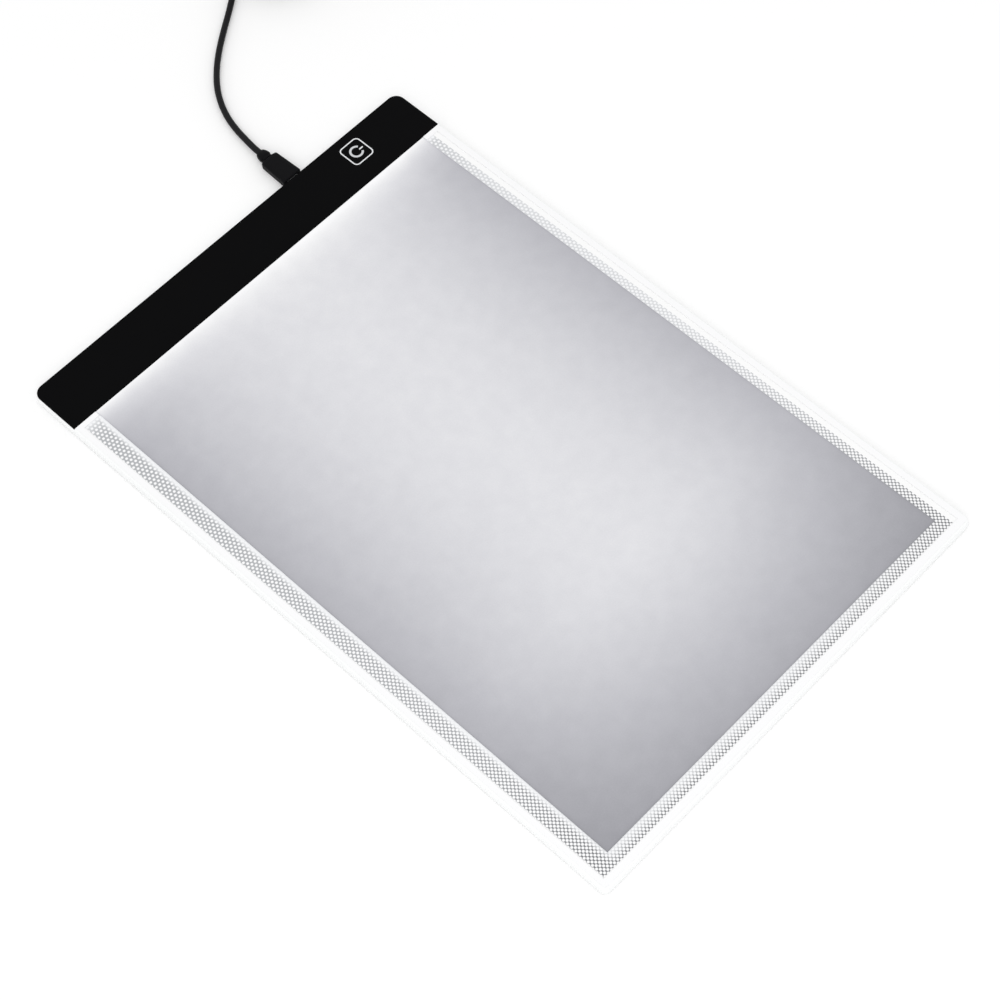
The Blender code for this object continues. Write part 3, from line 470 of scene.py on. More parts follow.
# Moulded plugs: soft black PVC is injected round each connector's metal shell and the cord's end
# in one shot, so body and strain relief are one skin. Its faces are eroded to a satin grain.
small_low, small_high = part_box("plug_overmould")
small_front = small_low.y
small_x, small_z = (small_low.x + small_high.x) / 2, (small_low.z + small_high.z) / 2
small_front_width, small_rear_width, small_height, small_length = 0.0114, 0.0100, 0.0052, 0.0170
small_nose = 0.0006
small_shoulder = 0.0013
small_squareness = 5.5
neck_width, neck_height, neck_flare, neck_step = 0.0056, 0.0042, 0.0012, 0.0002
bulb_width, bulb_height, bulb_end_width = 0.0066, 0.0050, 0.0046
bulb_start, bulb_length, bulb_points = 0.0183, 0.0046, 16
ring_points = 72


def squared_ring(width, height, power):
    """A ring in X and Z between an ellipse and its rectangle: half the width times the cosine, and
    half the height times the sine, each raised to 2 / power with its sign kept."""
    angle = math.tau * (np.arange(ring_points) + 0.5) / ring_points
    cosine, sine = np.cos(angle), np.sin(angle)
    x = np.sign(cosine) * np.abs(cosine) ** (2 / power[:, None])
    z = np.sign(sine) * np.abs(sine) ** (2 / power[:, None])
    return np.stack([x * width[:, None] / 2, z * height[:, None] / 2], axis=-1)


def moulding(stations):
    """Rings along +Y from rows of distance, width, height and power."""
    rows = np.array(stations, float)
    ring = squared_ring(rows[:, 1], rows[:, 2], rows[:, 3])
    y = np.broadcast_to(rows[:, :1], ring.shape[:2])
    return np.stack([ring[..., 0], y, ring[..., 1]], axis=-1)


def rounding(radius, count=7):
    """Distance and inset along a quarter circle, from the full inset to none."""
    a = np.linspace(0, math.pi / 2, count)
    return radius * (1 - np.cos(a)), radius * (1 - np.sin(a))


def body_rows(start, end, first_width, last_width, height, nose, shoulder, power):
    """Rows of a plug's body: a rounded front edge, straight tapering sides and a rounded rear. The
    sides have rows between them, so that the faces stay near to square."""
    into, inset = rounding(nose)
    out, outset = rounding(shoulder)
    middle = np.linspace(0.08, 0.92, 12)
    y = np.concatenate([start + into, start + (end - start) * middle, end - out[::-1]])
    drawn = np.concatenate([inset, np.zeros(len(middle)), outset[::-1]])
    width = first_width + (last_width - first_width) * (y - start) / (end - start) - 2 * drawn
    return np.column_stack([y, width, height - 2 * drawn, np.full(len(y), power)])


plug_skin = grained("plug_skin", paint(13, 13, 15), 0.48, 3600.0, 0.00007, 0.12, specular=0.06)
rows = body_rows(
    0.0, small_length, small_front_width, small_rear_width, small_height, small_nose,
    small_shoulder, small_squareness,
)
bulb_t = np.linspace(0, 1, bulb_points)
bulb_w = bulb_width - (bulb_width - bulb_end_width) * bulb_t**3
bulb_w -= neck_flare * (1 - np.minimum(bulb_t * 4, 1)) ** 2
bulb_rows = np.column_stack(
    [bulb_start + bulb_length * bulb_t, bulb_w, bulb_w * bulb_height / bulb_width,
     np.full(bulb_points, 2.3)]
)
neck_rows = [
    (small_length + neck_step / 4, neck_width + neck_flare, neck_height + neck_step / 2, 3.5),
    (small_length + neck_step, neck_width, neck_height - neck_step, 3.0),
    (bulb_start - neck_step, neck_width, neck_height - neck_step, 2.6),
]
small_body = moulding(np.vstack([rows, neck_rows, bulb_rows])) + (small_x, small_front, small_z)
small_plug = make_piece(
    "small_plug_moulding", [loft(small_body)], plug_skin, "lead", ["plug_overmould"]
)

large_width, large_rear_width, large_height = 0.0156, 0.0125, 0.0074
large_body_start, large_body_end, large_squareness = 0.0080, 0.0315, 5.5
relief_end_width, relief_width, relief_groove = 0.0050, 0.0066, 0.0007
relief_ribs, points_per_rib = 5, 12
rear_round, front_round, rear_squareness = 0.0010, 0.0008, 4.0
waist_offset, waist_length, waist_points = 0.0016, 0.0090, 14
mouth_width, mouth_height, mouth_depth, mouth_draft = 0.0128, 0.0052, 0.0009, 0.0003
large_place = np.array(tail_route[-1]) + large_plug_gap * large_plug_way
large_place[2] = large_plug_height
relief_t = np.linspace(0, 1, points_per_rib * relief_ribs + 1)
relief_w = relief_end_width + (relief_width - relief_end_width) * relief_t
relief_w -= relief_groove * np.clip(1.6 * np.cos(math.tau * relief_ribs * relief_t) - 0.6, 0, 1)
relief_rows = np.column_stack(
    [large_body_start * relief_t, relief_w, relief_w, np.full(len(relief_t), 2.2)]
)
waist_t = np.linspace(0, 1, waist_points)
waist = 3 * waist_t**2 - 2 * waist_t**3
into, inset = rounding(rear_round)
rear_rows = np.column_stack(
    [large_body_start + rear_round / 10 + into, large_rear_width - 2 * inset,
     large_height - 2 * inset, np.full(len(into), rear_squareness)]
)
waist_rows = np.column_stack(
    [large_body_start + waist_offset + waist_length * waist_t,
     large_rear_width + (large_width - large_rear_width) * waist,
     np.full(waist_points, large_height),
     rear_squareness + (large_squareness - rear_squareness) * waist]
)
out, outset = rounding(front_round)
front_rows = np.column_stack(
    [large_body_end - out, large_width - 2 * outset, large_height - 2 * outset,
     np.full(len(out), large_squareness)]
)[::-1]
mouth_rows = [
    (large_body_end, mouth_width, mouth_height, 6.0),
    (large_body_end - mouth_depth, mouth_width - mouth_draft, mouth_height - mouth_draft, 8.0),
]
large_shape = moulding(np.vstack([relief_rows, rear_rows, waist_rows, front_rows, mouth_rows]))
turned = large_plug_heading - math.pi / 2
turn_to_heading = np.array(
    [[math.cos(turned), -math.sin(turned), 0], [math.sin(turned), math.cos(turned), 0], [0, 0, 1]]
)
large_shape = large_shape @ turn_to_heading.T + large_place
large_plug = make_piece(
    "large_plug_moulding", [loft(large_shape)], plug_skin, "lead", ["usb_a_overmould"]
)


# Connector shells: steel strip stamped, folded round the contact block and plated. The fine lines
# of rolling run along the plug.
def dress(node, surface):
    """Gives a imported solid, which stays as it is, this material."""
    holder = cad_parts[node].material_slots[0]
    holder.link = "OBJECT"
    holder.material = surface


def rolled_steel(name, turned_by=0.0):
    made, shader, place = new_surface(name, 0.28, metallic=1.0)
    turning = beside(place, "ShaderNodeMapping")
    turning.inputs["Rotation"].default_value = (0.0, 0.0, -turned_by)
    turning.inputs["Scale"].default_value = (9000.0, 260.0, 9000.0)
    feed(place, turning.inputs["Vector"])
    lines = noise(turning.outputs[0], 1.0, 3.0)
    steel = mixed(lines, paint(188, 188, 190), paint(226, 226, 228))
    look(shader, steel, times_plus(lines, 0.20, 0.18))
    return made


dress("plug_shell", rolled_steel("small_plug_steel"))
dress("usb_socket_shell", rolled_steel("socket_steel"))
dress("usb_a_shell", rolled_steel("large_plug_steel", turned))


# Contact blocks: black glass-filled nylon, moulded round a row of gold-plated spring strips.
def contact_block(name, first, pitch, count, strip, turned_by=0.0, centre=(0.0, 0.0, 0.0)):
    """Gold where the distance across the row, taken modulo its pitch, is less than half a strip."""
    made, shader, place = new_surface(name, 0.5, specular=0.4)
    centring = beside(place, "ShaderNodeVectorMath")
    centring.operation = "SUBTRACT"
    centring.inputs[1].default_value = centre
    feed(place, centring.inputs[0])
    turning = beside(place, "ShaderNodeMapping")
    turning.inputs["Rotation"].default_value = (0.0, 0.0, -turned_by)
    feed(centring.outputs[0], turning.inputs["Vector"])
    across = axes(turning.outputs[0])[0]
    counted = over(minus(across, first), pitch)
    last_half = (count - 1) / 2
    inside = calc("COMPARE", calc("ROUND", counted), last_half, last_half + 0.1)
    on_strip = calc("LESS_THAN", off_whole(counted), strip / pitch / 2)
    gold = times(inside, on_strip)
    colour = mixed(gold, paint(24, 24, 25), paint(226, 180, 96))
    look(shader, colour, times_plus(gold, -0.25, 0.5), gold)
    return made


small_row = (-0.0013, 0.00065, 5, 0.0003)
dress("plug_core", contact_block("small_plug_block", *small_row, centre=(small_x, 0.0, 0.0)))
dress("usb_socket_tongue", contact_block("socket_block", *small_row, centre=(small_x, 0.0, 0.0)))
dress(
    "usb_a_core",
    contact_block("large_plug_block", -0.0035, 0.002333, 4, 0.0011, turned, tuple(large_place)),
)


# Tray: white ABS, injection moulded with its outer edges rounded, and its underside eroded to a
# fine grain. The wall is lower round the control bay, where the black cover lies on it.
half_width, half_length = 0.120, 0.180
tray_radius, tray_end_radius = 0.0055, 0.003
tray_wall = 0.0015
tray_bottom, tray_floor = 0.0005, 0.0013
tray_top, bay_top = 0.0050, 0.0041
bottom_round, top_round, inner_round, floor_round = 0.0005, 0.0006, 0.00003, 0.0003
wall_lean = 0.0006
strip_front = 0.1504
step_run = 0.00005
notch_half = 0.00415
foot_recess = 0.0003
foot_radius = 0.0050
foot_gap = 0.0003
foot_inset = 0.015
boss_radius, bore_radius, boss_drop = 0.0020, 0.0010, 0.0003
boss_spread, rear_boss_y, front_boss_offset = 0.1188, 0.1743, 0.0100
rear_places = [(x * boss_spread, rear_boss_y) for x in (-0.93, -0.46, 0.0, 0.93)]
boss_places = [*rear_places]
boss_places += [(x * boss_spread, strip_front + front_boss_offset) for x in (-0.70, -0.24, 0.20)]
gusset_half, gusset_drop = 0.00035, 0.0013
post_inset, post_radius, post_gap = 0.0025, 0.0017, 0.0001
pin_radius, pin_rise = 0.0006, 0.0005
led_rib_gap, led_rib_thickness, flex_gap = 0.0003, 0.0008, 0.0006
root_depth = 0.0004
rim_gap = 0.00033
level_step = 0.000005
circle_steps = 40


def prism(outline, bottom, top):
    outline = np.asarray(outline, float)
    levels = np.broadcast_to(np.array([bottom, top])[:, None], (2, len(outline)))
    return loft(np.dstack([np.broadcast_to(outline, (2, *outline.shape)), levels]))


def disc(x, y, radius, steps=circle_steps):
    turn = math.tau * np.arange(steps) / steps
    return np.column_stack([x + radius * np.cos(turn), y + radius * np.sin(turn)])


def rectangle(x0, x1, y0, y1):
    return np.array([(x0, y0), (x1, y0), (x1, y1), (x0, y1)])


def carried(points, facing, insets, heights):
    """Rings of a section carried round an outline: each outline point is moved inwards by the
    section's insets and set at its heights, which may differ from point to point."""
    moved = points[None] - np.asarray(insets)[:, None, None] * facing[None]
    levels = np.broadcast_to(heights, (len(insets), len(points)))
    return np.dstack([moved, levels])


def with_stations(points, facing, axis, places):
    """The outline with two more stations at each (side, place): straight runs of it along an axis
    are cut there, so that a height may change between the two."""
    for low_side, place in places:
        other = 1 - axis
        ahead = np.roll(points, -1, axis=0)
        crosses = (points[:, axis] - place) * (ahead[:, axis] - place) < 0
        on_side = (points[:, other] < 0) if low_side else (points[:, other] > 0)
        k = int(np.flatnonzero(crosses & on_side)[0])
        rising = np.sign(ahead[k, axis] - points[k, axis])
        extra = np.repeat(points[k : k + 1], 2, axis=0)
        extra[:, axis] = place + rising * np.array([-0.5, 0.5]) * step_run
        points = np.insert(points, k + 1, extra, axis=0)
        facing = np.insert(facing, k + 1, facing[[k, k]], axis=0)
    return points, facing


rim_edge = strip_front - rim_gap
sill = tray_bottom + bottom_round + level_step
flat_margin = 0.0010


def tray_section(top):
    """Insets and heights of the tray's section: from its underside out round the lower edge, up the
    wall, over the rim and down to its floor. Each quarter circle runs r (1 - cos a), r (1 - sin a)."""
    rows = [(bottom_round + flat_margin, tray_bottom)]
    for run, inset in zip(*rounding(bottom_round)):
        rows.append((inset, tray_bottom + run))
    for run, inset in reversed(list(zip(*rounding(top_round)))):
        rows.append((wall_lean + inset, np.maximum(top - run, sill)))
    for run, inset in zip(*rounding(inner_round, 4)):
        rows.append((tray_wall - inset, np.maximum(top - run, sill)))
    for run, inset in zip(*rounding(floor_round, 4)):
        rows.append((tray_wall + run, np.minimum(tray_floor + inset, top)))
    rows.append((tray_wall + floor_round + flat_margin, tray_floor))
    return [inset for inset, _ in rows], np.vstack([np.broadcast_to(z, len(top)) for _, z in rows])


def turned_ring(x, y, bore, outside, bottom, top):
    """A sleeve: a rectangle between two radii, turned round an upright axis."""
    turn = math.tau * np.arange(circle_steps) / circle_steps
    radius = np.array([bore, outside, outside, bore])
    height = np.broadcast_to([bottom, bottom, top, top], (circle_steps, 4))
    rings = [x + np.cos(turn)[:, None] * radius, y + np.sin(turn)[:, None] * radius, height]
    return loft(np.stack(rings, axis=-1), closed=True)


outline, facing = rounded_loop(
    -half_width, half_width, -half_length, half_length,
    [tray_end_radius, tray_end_radius, tray_radius, tray_radius], 14,
)
outline, facing = with_stations(outline, facing, 1, [(True, rim_edge), (False, rim_edge)])
notch_edges = [(False, small_x - notch_half), (False, small_x + notch_half)]
outline, facing = with_stations(outline, facing, 0, notch_edges)
wall_top = np.where(outline[:, 1] > rim_edge, bay_top, tray_top)
in_notch = (outline[:, 1] > half_length - tray_radius) & (np.abs(outline[:, 0] - small_x) < notch_half)
wall_top = np.where(in_notch, sill + 3 * level_step, wall_top)
tray_parts = [loft(carried(outline, facing, *tray_section(wall_top)))]

root = tray_floor - root_depth
board_low, board_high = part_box("control_board")
guide_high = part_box("light_guide_plate")[1]
strip_low, strip_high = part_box("led_strip")
flex_low, flex_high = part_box("flex_tail")
for x, y in boss_places:
    tray_parts.append(turned_ring(x, y, bore_radius, boss_radius, root, bay_top - boss_drop))
for x, y in rear_places:
    gusset_start, gusset_end = y + bore_radius + gusset_half, half_length - tray_wall / 2
    gusset = rectangle(x - gusset_half, x + gusset_half, gusset_start, gusset_end)
    tray_parts.append(prism(gusset, root, bay_top - gusset_drop))
for x in (board_low.x + post_inset, board_high.x - post_inset):
    for y in (board_low.y + post_inset, board_high.y - post_inset):
        tray_parts.append(prism(disc(x, y, post_radius), root, board_low.z - post_gap))
        tray_parts.append(prism(disc(x, y, pin_radius), root, board_high.z + pin_rise))
rib_start = strip_high.y + led_rib_gap
for x0, x1 in ((strip_low.x, flex_low.x - flex_gap), (flex_high.x + flex_gap, strip_high.x)):
    led_rib = rectangle(x0, x1, rib_start, rib_start + led_rib_thickness)
    tray_parts.append(prism(led_rib, root, guide_high.z))

white_abs = grained("white_abs", paint(251, 252, 252), 0.42, 2400.0, 0.00004, 0.012, specular=0.4)
tray = make_piece("tray_moulding", tray_parts, white_abs, "pad", ["back_cover"])
foot_places = [
    (x * (half_width - foot_inset), y * (half_length - foot_inset))
    for x, y in ((-1, -1), (1, -1), (1, 1), (-1, 1))
]
recess_parts = [
    prism(disc(x, y, foot_radius + foot_gap), tray_bottom - flat_margin, tray_bottom + foot_recess)
    for x, y in foot_places
]
cutter = make_piece("recess_cutter", recess_parts, white_abs, "pad")
sinking = tray.modifiers.new("foot_recesses", "BOOLEAN")
sinking.operation = "DIFFERENCE"
sinking.solver = "EXACT"
sinking.object = cutter
bpy.context.view_layer.update()
sunk = bpy.data.meshes.new_from_object(tray.evaluated_get(bpy.context.evaluated_depsgraph_get()))
tray.modifiers.clear()
tray.data = sunk
tray.data.name = "tray_moulding"
bpy.data.objects.remove(cutter)


# Feet: four discs of soft grey rubber, 10 mm across, moulded with a ring groove in their face and
# stuck in the recesses of the tray's underside. They lift it half a millimetre off the table.
foot_rubber = grained("foot_rubber", paint(150, 150, 152), 0.85, 3000.0, 0.00008, 0.10, specular=0.3)
foot_top = tray_bottom + foot_recess - 0.0001
foot_steps = 48
groove_inner, groove_outer, groove_slope, groove_depth = 0.0028, 0.0034, 0.0001, 0.00012
foot_profile = [
    (foot_radius - 0.0001, foot_top),
    (foot_radius, foot_top - 0.0001),
    (foot_radius, 0.0003),
    (foot_radius - 0.00004, 0.00015),
    (foot_radius - 0.00015, 0.00004),
    (foot_radius - 0.0003, 0.0),
    (groove_outer, 0.0),
    (groove_outer - groove_slope, groove_depth),
    (groove_inner + groove_slope, groove_depth),
    (groove_inner, 0.0),
    (0.0010, 0.0),
]
for number, (x, y) in enumerate(foot_places, 1):
    rings = [
        np.column_stack([disc(x, y, radius, foot_steps), np.full(foot_steps, height)])
        for radius, height in foot_profile
    ]
    make_piece(
        f"rubber_foot_{number}", [loft(rings)], foot_rubber, "pad", [f"foot_{number}"]
    )


# Reflector sheet and edge tape: white polyester film, cut from a roll. The sheet lies under the
# light guide and the tape is stuck round its edges, and both throw the light back into it.
dress(
    "reflector_sheet",
    grained("reflector_film", paint(246, 247, 248), 0.30, 5000.0, 0.00001, 0.02, specular=0.4),
)
dress(
    "edge_reflector",
    grained("tape_film", paint(248, 249, 250), 0.36, 5000.0, 0.00001, 0.02, specular=0.3),
)


# Light guide: a clear acrylic sheet, sawn and polished. White dots printed on its underside let the
# light out. They stand in staggered rows, which close up away from the LEDs.
dot_pitch, first_column = 0.00202, -0.1125
row_terms = (2.05, 502.0, 8.3, 3428.0, -5361.0)
dot_radius, dot_softness = 0.00064, 0.00030


def power_series(value, terms):
    """The sum of each term times the value to the power of the term's number, from the last term
    down: (last * value + one before) * value and so on."""
    added = terms[-1]
    for term in terms[-2::-1]:
        added = times_plus(added, value, term)
    return added


dot_effect, given, put = new_effect("guide_dots", [("Place", "Vector")], [("Dots", "Float")])
x, y, _ = axes(given["Place"])
from_strip = minus(strip_front, y)
rows_passed = power_series(from_strip, row_terms)
rate_terms = [power * term for power, term in enumerate(row_terms)][1:]
row_gap = over(1.0, power_series(from_strip, rate_terms))
columns = over(minus(x, first_column), dot_pitch)
offsets = []
for share in (0.5, -0.5):
    line = times_plus(rows_passed, share, columns)
    offsets.append(minus(line, calc("ROUND", line)))
off_across = times(plus(*offsets), dot_pitch / 2)
off_along = times(minus(*offsets), row_gap)
squares = [times(off, off) for off in (off_across, off_along)]
from_dot = calc("SQRT", plus(*squares))
edge = over(minus(dot_radius, from_dot), dot_softness)
soft = dot_effect.nodes.new("ShaderNodeClamp")
feed(plus(edge, 0.5), soft.inputs[0])
feed(soft.outputs[0], put["Dots"])
guide_surface, shader, place = new_surface("guide_acrylic", 0.08)
shader.inputs["Transmission Weight"].default_value = 0.7
shader.inputs["IOR"].default_value = 1.49
dots = place_effect(dot_effect, Place=place)["Dots"]
guide_colour = mixed(dots, paint(232, 240, 240), paint(252, 252, 252))
look(shader, guide_colour, times_plus(dots, 0.35, 0.08))
dress("light_guide_plate", guide_surface)


# LED strip: white LEDs soldered on a narrow board that stands against the guide's end. Each package
# is a white plastic cup filled with yellow phosphor, which faces the guide.
led_count, led_window, led_window_rise, led_skin = 24, 0.0011, 0.0005, 0.00005
led_pitch = (strip_high.x - strip_low.x) / led_count
led_surface, shader, place = new_surface("led_packages", 0.38, specular=0.4)
x, y, z = axes(place)
counted = over(minus(x, strip_low.x + led_pitch / 2), led_pitch)
in_width = calc("LESS_THAN", off_whole(counted), led_window / led_pitch)
in_height = calc("COMPARE", z, (strip_low.z + strip_high.z) / 2, led_window_rise)
on_front = calc("LESS_THAN", y, strip_low.y + led_skin)
phosphor = times(in_width, in_height, on_front)
speckle = noise(place, 9000.0)
white_part = mixed(speckle, paint(226, 228, 229), paint(243, 244, 244))
yellow_part = mixed(speckle, paint(229, 205, 84), paint(246, 228, 128))
led_colour = mixed(phosphor, white_part, yellow_part)
look(shader, led_colour, times_plus(phosphor, 0.25, 0.38))
dress("led_strip", led_surface)


# Flex tail: amber polyimide film with two copper lines inside it, which feeds the LED strip from
# the control board. Its ends are soldered down.
flex_middle = (flex_low.x + flex_high.x) / 2
flex_line, flex_line_half, flex_line_rise = 0.0013, 0.0007, 0.00003
flex_surface, shader, place = new_surface("flex_film", 0.22, specular=0.5)
off_middle = calc("ABSOLUTE", minus(axes(place)[0], flex_middle))
on_line = calc("COMPARE", off_middle, flex_line, flex_line_half)
smoke = noise(place, 700.0)
film_part = mixed(smoke, paint(190, 118, 30), paint(206, 138, 46))
flex_colour = mixed(on_line, film_part, paint(214, 158, 84))
look(shader, flex_colour, normal=bump(on_line, flex_line_rise))
dress("flex_tail", flex_surface)


# Control board: glass-fibre board with copper tracks under green solder mask, held on four pins of
# the tray. The touch chip, a transistor, resistors and capacitors are soldered on it.
track_gap, track_half, track_rise = 0.0011, 0.00016, 0.00004
mask_surface, shader, place = new_surface("solder_mask", 0.30, specular=0.5)
patches = beside(place, "ShaderNodeTexVoronoi")
patches.distance = "CHEBYCHEV"
patches.inputs["Scale"].default_value = 160.0
feed(place, patches.inputs["Vector"])
chosen = beside(place, "ShaderNodeSeparateColor")
feed(patches.outputs["Color"], chosen.inputs[0])
tracks = []
for across in axes(place)[:2]:
    off = off_whole(over(across, track_gap))
    tracks.append(calc("LESS_THAN", off, track_half / track_gap))
along_x = calc("GREATER_THAN", chosen.outputs[0], 0.5)
track = times_plus(minus(tracks[1], tracks[0]), along_x, tracks[0])
bare = calc("LESS_THAN", chosen.outputs[1], 0.25)
track = times(track, minus(1.0, bare))
weave = noise(place, 2200.0)
mask_part = mixed(weave, paint(18, 88, 44), paint(26, 102, 54))
mask_colour = mixed(track, mask_part, paint(58, 146, 84))
look(shader, mask_colour, normal=bump(track, track_rise))
dress("control_board", mask_surface)

electrode_surface, shader, place = new_surface("electrode_copper", 0.35, metallic=1.0)
hatch = noise(place, 5200.0, 3.0)
stain = noise(place, 420.0)
copper = mixed(hatch, paint(186, 122, 84), paint(214, 150, 108))
look(shader, mixed(stain, copper, paint(196, 136, 98)), times_plus(hatch, 0.25, 0.22))
dress("touch_electrode", electrode_surface)

epoxy = grained("chip_epoxy", paint(36, 36, 38), 0.55, 9000.0, 0.00002, 0.20, specular=0.4)
dress("touch_chip", epoxy)
dress("dimmer_transistor", epoxy)
face_skin = 0.00005


def end_capped(name, node, cap, ceramic, face):
    """Tin where the distance along X from the piece's middle is more than its half length less the
    cap's. Between the caps the top has the face's colour, and the rest that of the ceramic."""
    low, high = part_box(node)
    made, shader, place = new_surface(name, 0.4)
    x, _, z = axes(place)
    off = calc("ABSOLUTE", minus(x, (low.x + high.x) / 2))
    capped = calc("GREATER_THAN", off, (high.x - low.x) / 2 - cap)
    on_face = calc("GREATER_THAN", z, high.z - face_skin)
    grain = noise(place, 9000.0)
    body = mixed(on_face, ceramic, face)
    colour = mixed(capped, body, paint(205, 206, 208))
    look(shader, colour, times_plus(grain, 0.22, 0.24), capped)
    dress(node, made)


resistor_cap, capacitor_cap = 0.0003, 0.0004
for kind, count, cap, ceramic, face in (
    ("resistor", 3, resistor_cap, paint(232, 231, 226), paint(30, 30, 31)),
    ("capacitor", 2, capacitor_cap, paint(168, 138, 98), paint(174, 145, 104)),
):
    for number in range(1, count + 1):
        end_capped(f"{kind}_{number}_body", f"{kind}_{number}", cap, ceramic, face)


# Control cover: black ABS plate over the strip, with its outer edges rounded. A skirt, seven pins
# and a rib under it, all in one moulding, locate it in the tray; the pins press into the bosses.
cover_bottom, cover_top = 0.0042, 0.0050
cover_side, cover_rear = 0.1193, 0.1796
cover_radius = 0.0052
front_corner = 0.0003
cover_edge, under_edge = 0.00035, 0.0001
top_flat, under_flat = 0.00015, 0.0002
overlap = 0.0004
bay_wall, skirt_gap, skirt_corner = 0.0012, 0.0003, 0.004
skirt_thickness, skirt_depth, skirt_start = 0.0008, 0.0010, 0.0075
socket_side = 0.0043
cover_pin, cover_pin_length, cover_pin_steps = 0.0007, 0.0020, 24
rib_margin, rib_to_board, rib_start, rib_end, rib_depth = 0.008, 0.014, 0.0130, 0.0124, 0.0008
cover_satin = grained("cover_satin", paint(7, 7, 8), 0.34, 3000.0, 0.00002, 0.10, specular=0.03)
cover_outline, cover_facing = rounded_loop(
    -cover_side, cover_side, strip_front, cover_rear,
    [front_corner, front_corner, cover_radius, cover_radius], 12,
)
run, inset = rounding(cover_edge)
under, under_in = rounding(under_edge, 4)
cover_insets = np.concatenate(
    [[under_edge + under_flat], under_in, inset[::-1], [cover_edge + top_flat]]
)
cover_heights = np.concatenate(
    [[cover_bottom], cover_bottom + under, cover_top - run[::-1], [cover_top]]
)[:, None]


def mitred(points, facing, insets, heights, corner):
    """Like carried, but where an inset is more than a corner's radius the points stop at the two
    sides' crossing, so that a nearly square corner isn't turned inside out."""
    rings = carried(points, facing, insets, heights)
    for near_left in (True, False):
        sign = 1 if near_left else -1
        near = (points[:, 1] < points[:, 1].min() + corner) & (sign * points[:, 0] < corner - cover_side)
        for ring, inset_here in zip(rings, insets):
            if inset_here > corner:
                ring[near, 0] = sign * (inset_here - cover_side)
                ring[near, 1] = strip_front + inset_here
    return rings


def upright_band(outer, inner, bottom, top, closed=False):
    """A band between two lines of equal count, from one height to another."""
    section = np.stack([inner, outer, outer, inner], axis=1)
    levels = np.broadcast_to([bottom, bottom, top, top], section.shape[:2])
    return loft(np.dstack([section, levels]), closed)


cover_rings = mitred(cover_outline, cover_facing, cover_insets, cover_heights, front_corner + 1e-6)
cover_parts = [loft(cover_rings)]
moulded_in = cover_bottom + overlap
skirt_half = half_width - bay_wall - skirt_gap
skirt_end = half_length - bay_wall - skirt_gap
skirt_loop, skirt_facing = rounded_loop(
    -skirt_half, skirt_half, strip_front + skirt_start, skirt_end,
    [0.0, 0.0, skirt_corner, skirt_corner], 10,
)
for side in (-1, 1):
    keep = (side * (skirt_loop[:, 0] - small_x) > socket_side) & (skirt_facing[:, 1] > -0.5)
    at_socket = np.array([(small_x + side * socket_side, skirt_end, 0.0, 1.0)])
    stretches = [at_socket, np.column_stack([skirt_loop, skirt_facing])[keep]]
    outer, outwards = np.hsplit(np.vstack(stretches[::-side]), 2)
    inner = outer - skirt_thickness * outwards
    cover_parts.append(upright_band(outer, inner, cover_bottom - skirt_depth, moulded_in))
for x, y in boss_places:
    pin = disc(x, y, cover_pin, cover_pin_steps)
    cover_parts.append(prism(pin, cover_bottom - cover_pin_length, moulded_in))
rib = rectangle(
    rib_margin - half_width, board_low.x - rib_to_board, half_length - rib_start, half_length - rib_end
)
cover_parts.append(prism(rib, cover_bottom - rib_depth, moulded_in))
make_piece("control_strip", cover_parts, cover_satin, "pad", ["control_cover"])


# Key mark: the sign for power inside a rounded square, screen-printed in light grey ink over the
# touch electrode. The ink stands a few hundredths of a millimetre on the cover.
mark_x, mark_y = 0.0802, 0.1678
mark_width, mark_depth, mark_radius, mark_line = 0.01265, 0.01345, 0.0025, 0.00062
ring_inner, ring_outer, ring_gap = 0.0025, 0.0036, math.radians(33)
bar_start, bar_end, bar_half = 0.0018, 0.0043, 0.00038
ink_bottom, ink_top = cover_top - 0.00002, cover_top + 0.00002
ink = grained("key_ink", paint(234, 236, 238), 0.55, 6000.0, 0.00001, 0.06, specular=0.3)
ring_ink = grained("ring_ink", paint(208, 210, 213), 0.55, 6000.0, 0.00001, 0.06, specular=0.3)
square, square_facing = rounded_loop(
    mark_x - mark_width / 2, mark_x + mark_width / 2, mark_y - mark_depth / 2, mark_y + mark_depth / 2,
    [mark_radius] * 4, 10,
)
sweep = np.linspace(ring_gap, math.tau - ring_gap, 60)
spokes = np.column_stack([np.cos(sweep), np.sin(sweep)])
bar_turn = np.linspace(-math.pi / 2, math.pi / 2, 9)
half_turn = bar_half * np.column_stack([np.cos(bar_turn), np.sin(bar_turn)])
bar_tip = (bar_end - bar_half, 0.0) + half_turn
bar_root = (bar_start + bar_half, 0.0) - half_turn
middle = np.array((mark_x, mark_y))
mark_parts = [
    upright_band(square, square - mark_line * square_facing, ink_bottom, ink_top, closed=True),
    prism(middle + np.vstack([bar_tip, bar_root]), ink_bottom, ink_top),
    upright_band(middle + ring_outer * spokes, middle + ring_inner * spokes, ink_bottom, ink_top),
]
power_mark = make_piece("power_mark", mark_parts, ink, "pad")
power_mark.data.materials.append(ring_ink)
ring_faces = len(mark_parts[-1][1]) + len(mark_parts[-1][2])
shown_by = np.zeros(len(power_mark.data.polygons), dtype=np.int32)
shown_by[-ring_faces:] = 1
power_mark.data.polygons.foreach_set("material_index", shown_by)


# Light panel: a translucent acrylic sheet over the light guide. Round it the guide's extraction
# dots show through as white spots in staggered rows, which close up away from the LEDs. Light is
# painted into its colour: the grey ground between the dots is painted darker towards the far end,
# away from the LEDs, and a painted glow whitens the band beside the working sheet's edges and near
# the strip.
sheet_low, sheet_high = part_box("working_sheet")
window_left, window_right, window_end = -0.1153, 0.1129, -0.1747
window_edge = 0.00015
film_edge, film_glow_reach = 0.1474, 0.0032
dark_end, gloom_reach, ground_reach = -0.165, 0.030, 0.080
dot_rise = 0.00003


def edge_distances(x, y):
    """Distances inside the working sheet's left, right and far edges, negative outside."""
    return minus(x, sheet_low.x), minus(sheet_high.x, x), minus(y, sheet_low.y)


